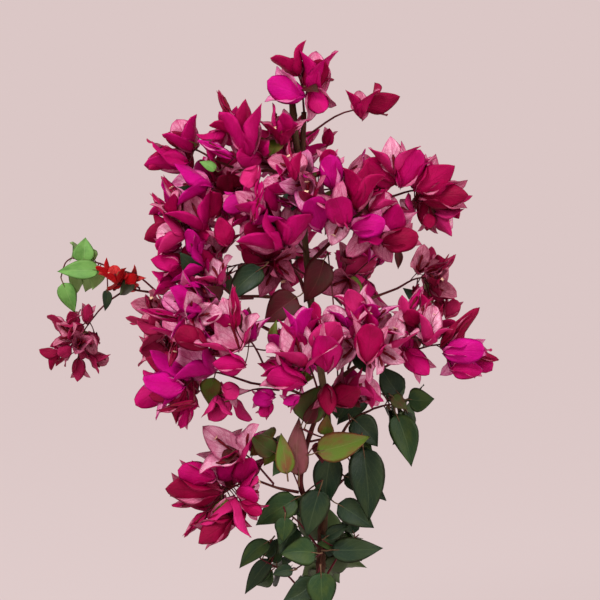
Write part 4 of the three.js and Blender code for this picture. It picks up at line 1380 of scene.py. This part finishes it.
def make_twigs():
    """The shoot of each mass, and the twigs on which its blooms and placed leaves stand."""
    shape = Shape()
    random = Chance(TWIG_SEED)
    for mass in masses:
        way = [mass.carrier, *mass.shoot.curve.spread(8)]
        add_tube(shape, way, np.linspace(SHOOT_RADII[0], SHOOT_RADII[1] * SHOOT_TAPER, 9), 8)
    for mass in bloom_masses:
        for bloom in mass.blooms:
            hub, base = bloom.hub, bloom.middle
            sag = (base - hub).length * TWIG_SAG * (random() - 0.3)
            bend = hub.lerp(base, TWIG_BEND) + UP * sag
            way = Curve([hub, bend, base + bloom.axis * TWIG_INTO])
            add_tube(shape, way.spread(len(TWIG_RADII)), TWIG_RADII)
    for mass in masses:
        for root, leaf in mass.stalks:
            bend = root.lerp(leaf.base, 0.5) + UP * LEAF_TWIG_RISE - leaf.direction * LEAF_TWIG_BACK
            way = Curve([root, bend, leaf.base]).spread(LEAF_TWIG_POINTS)
            add_tube(shape, way, [LEAF_TWIG_RADIUS] * LEAF_TWIG_POINTS)
    shape.piece("twigs", plain_material(
        "twig", linear(98, 22, 38), linear(70, 30, 30), 0.5))


RING_STEP = 1.6
BARK_SIDES = 24
NODE_STEP = 34
NODE_SWELL = 0.16
NODE_WIDTH = 0.006
BARK_LUMPS = 0.07
LUMP_SCALE = 0.05
BARK_FURROWS = 0.09
FURROW_DRAW = 0.07               # noise per millimetre along the limb: little, for long furrows
FURROWS_ROUND = 5
FLARE_RIBS = 0.35
RIBS_ROUND = 5
# The stout short shoot beside the tip of the main stem.
SIDE_SHOOT = ((-14, 6, 536), (-20, 3, 566), (-23, 1, 602))
SIDE_SHOOT_RADII = (4, 3.3)


def limb_rings(limb):
    """Rings of points round a limb, with furrows, lumps, swollen nodes and its root flare."""
    curve = limb.curve
    is_stem = limb.name == "main_stem"
    length = curve.length()
    rings = math.ceil(length / RING_STEP)
    sideways = square_to((curve.at(1) - curve.at(0)).normalized(), Vector((1, 0, 0)))
    verts = np.empty((rings + 1, BARK_SIDES, 3))
    for i in range(rings + 1):
        t = i / rings
        way = curve.tangent(t)
        across = square_to(way, sideways)
        other = way.cross(across)
        centre = curve.at(t)
        flare = FLARE_RADIUS * math.exp(-centre.z / FLARE_HEIGHT) if is_stem else 0
        swell = NODE_SWELL * math.exp(-((t * length / NODE_STEP) % 1 - 0.5) ** 2 / NODE_WIDTH)
        for j in range(BARK_SIDES):
            turn = 2 * math.pi * j / BARK_SIDES
            spoke = across * math.cos(turn) + other * math.sin(turn)
            lump = noise((centre * LUMP_SCALE) + spoke * 1.1)
            furrow = noise(Vector((
                centre.z * FURROW_DRAW + centre.x * FURROW_DRAW,
                FURROWS_ROUND * math.cos(turn), FURROWS_ROUND * math.sin(turn))))
            size = between(limb.radii, t) * (1 + swell + BARK_LUMPS * lump + BARK_FURROWS * furrow)
            size += flare * (1 + FLARE_RIBS * math.cos(RIBS_ROUND * turn + 1))
            verts[i, j] = centre + spoke * size
    if is_stem:
        verts[0, :, 2] = 0
        verts[:, :, 2] = np.maximum(verts[:, :, 2], 0)
    return verts


def make_bark():
    """The stems and boughs, each with its relief, on two colours of bark."""
    old, young = Shape(), Shape()
    for limb in limbs.values():
        add_rings(old if limb.name == "main_stem" else young, limb_rings(limb))
    side_shoot = Limb("side_shoot", [Vector(p) for p in SIDE_SHOOT], SIDE_SHOOT_RADII)
    add_rings(old, limb_rings(side_shoot))
    stem = old.piece("main_stem_bark", bark_material(
        "old", linear(92, 58, 44), linear(104, 92, 62), linear(48, 24, 20), 90))
    boughs = young.piece("bough_bark", bark_material(
        "young", linear(104, 40, 44), linear(104, 70, 52), linear(60, 18, 24), 30))
    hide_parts("main_stem")
    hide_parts(*(name for name in limbs if name != "main_stem"))


# ---- Floor, light and camera --------------------------------------------------------------

BACKDROP = linear(219, 199, 198)
FLOOR_SIZE = 60
FLOOR_GLOW = 0.92                # share of its own light, so that only faint shadows show
CAMERA_PLACE = (-0.015, -1.5, 0.4)
CAMERA_LENS = 90
SENSOR_WIDTH = 36
LIGHT_TARGET = Vector((0, 0, 0.4))
# Name, place, size and power of each light.
LIGHTS = [("key", (-1.2, -1.6, 2.0), 0.9, 50), ("fill", (1.6, -1.4, 0.9), 1.4, 22)]


def make_stage():
    bpy.ops.mesh.primitive_plane_add(size=FLOOR_SIZE)
    floor = bpy.context.object
    floor.name = "floor"
    material = bpy.data.materials.new("floor")
    material.use_nodes = True
    nodes, links = material.node_tree.nodes, material.node_tree.links
    shader = nodes["Principled BSDF"]
    shader.inputs["Base Color"].default_value = (1, 1, 1, 1)
    shader.inputs["Roughness"].default_value = 1
    shader.inputs["Specular IOR Level"].default_value = 0
    glow = nodes.new("ShaderNodeEmission")
    glow.inputs["Color"].default_value = BACKDROP
    mixed = nodes.new("ShaderNodeMixShader")
    mixed.inputs[0].default_value = FLOOR_GLOW
    links.new(shader.outputs[0], mixed.inputs[1])
    links.new(glow.outputs[0], mixed.inputs[2])
    links.new(mixed.outputs[0], nodes["Material Output"].inputs[0])
    floor.data.materials.append(material)
    world = bpy.data.worlds.new("world")
    world.use_nodes = True
    world.node_tree.nodes["Background"].inputs[0].default_value = BACKDROP
    world.node_tree.nodes["Background"].inputs[1].default_value = 1
    bpy.context.scene.world = world
    bpy.context.scene.view_settings.view_transform = "Standard"


def add_object(name, data, place):
    obj = bpy.data.objects.new(name, data)
    obj.location = place
    bpy.context.scene.collection.objects.link(obj)
    return obj


def make_view():
    for name, place, size, power in LIGHTS:
        light = bpy.data.lights.new(name, "AREA")
        light.size = size
        light.energy = power
        way = (LIGHT_TARGET - Vector(place)).to_track_quat("-Z", "Y")
        add_object(name, light, place).rotation_euler = way.to_euler()
    data = bpy.data.cameras.new("camera")
    data.lens = CAMERA_LENS
    data.sensor_width = SENSOR_WIDTH
    camera = add_object("camera", data, CAMERA_PLACE)
    camera.rotation_euler = (math.pi / 2, 0, 0)
    bpy.context.scene.camera = camera


make_stage()
make_view()
grow_plant()
make_bark()
make_twigs()
make_bracts()
make_flowers()
make_leaves()
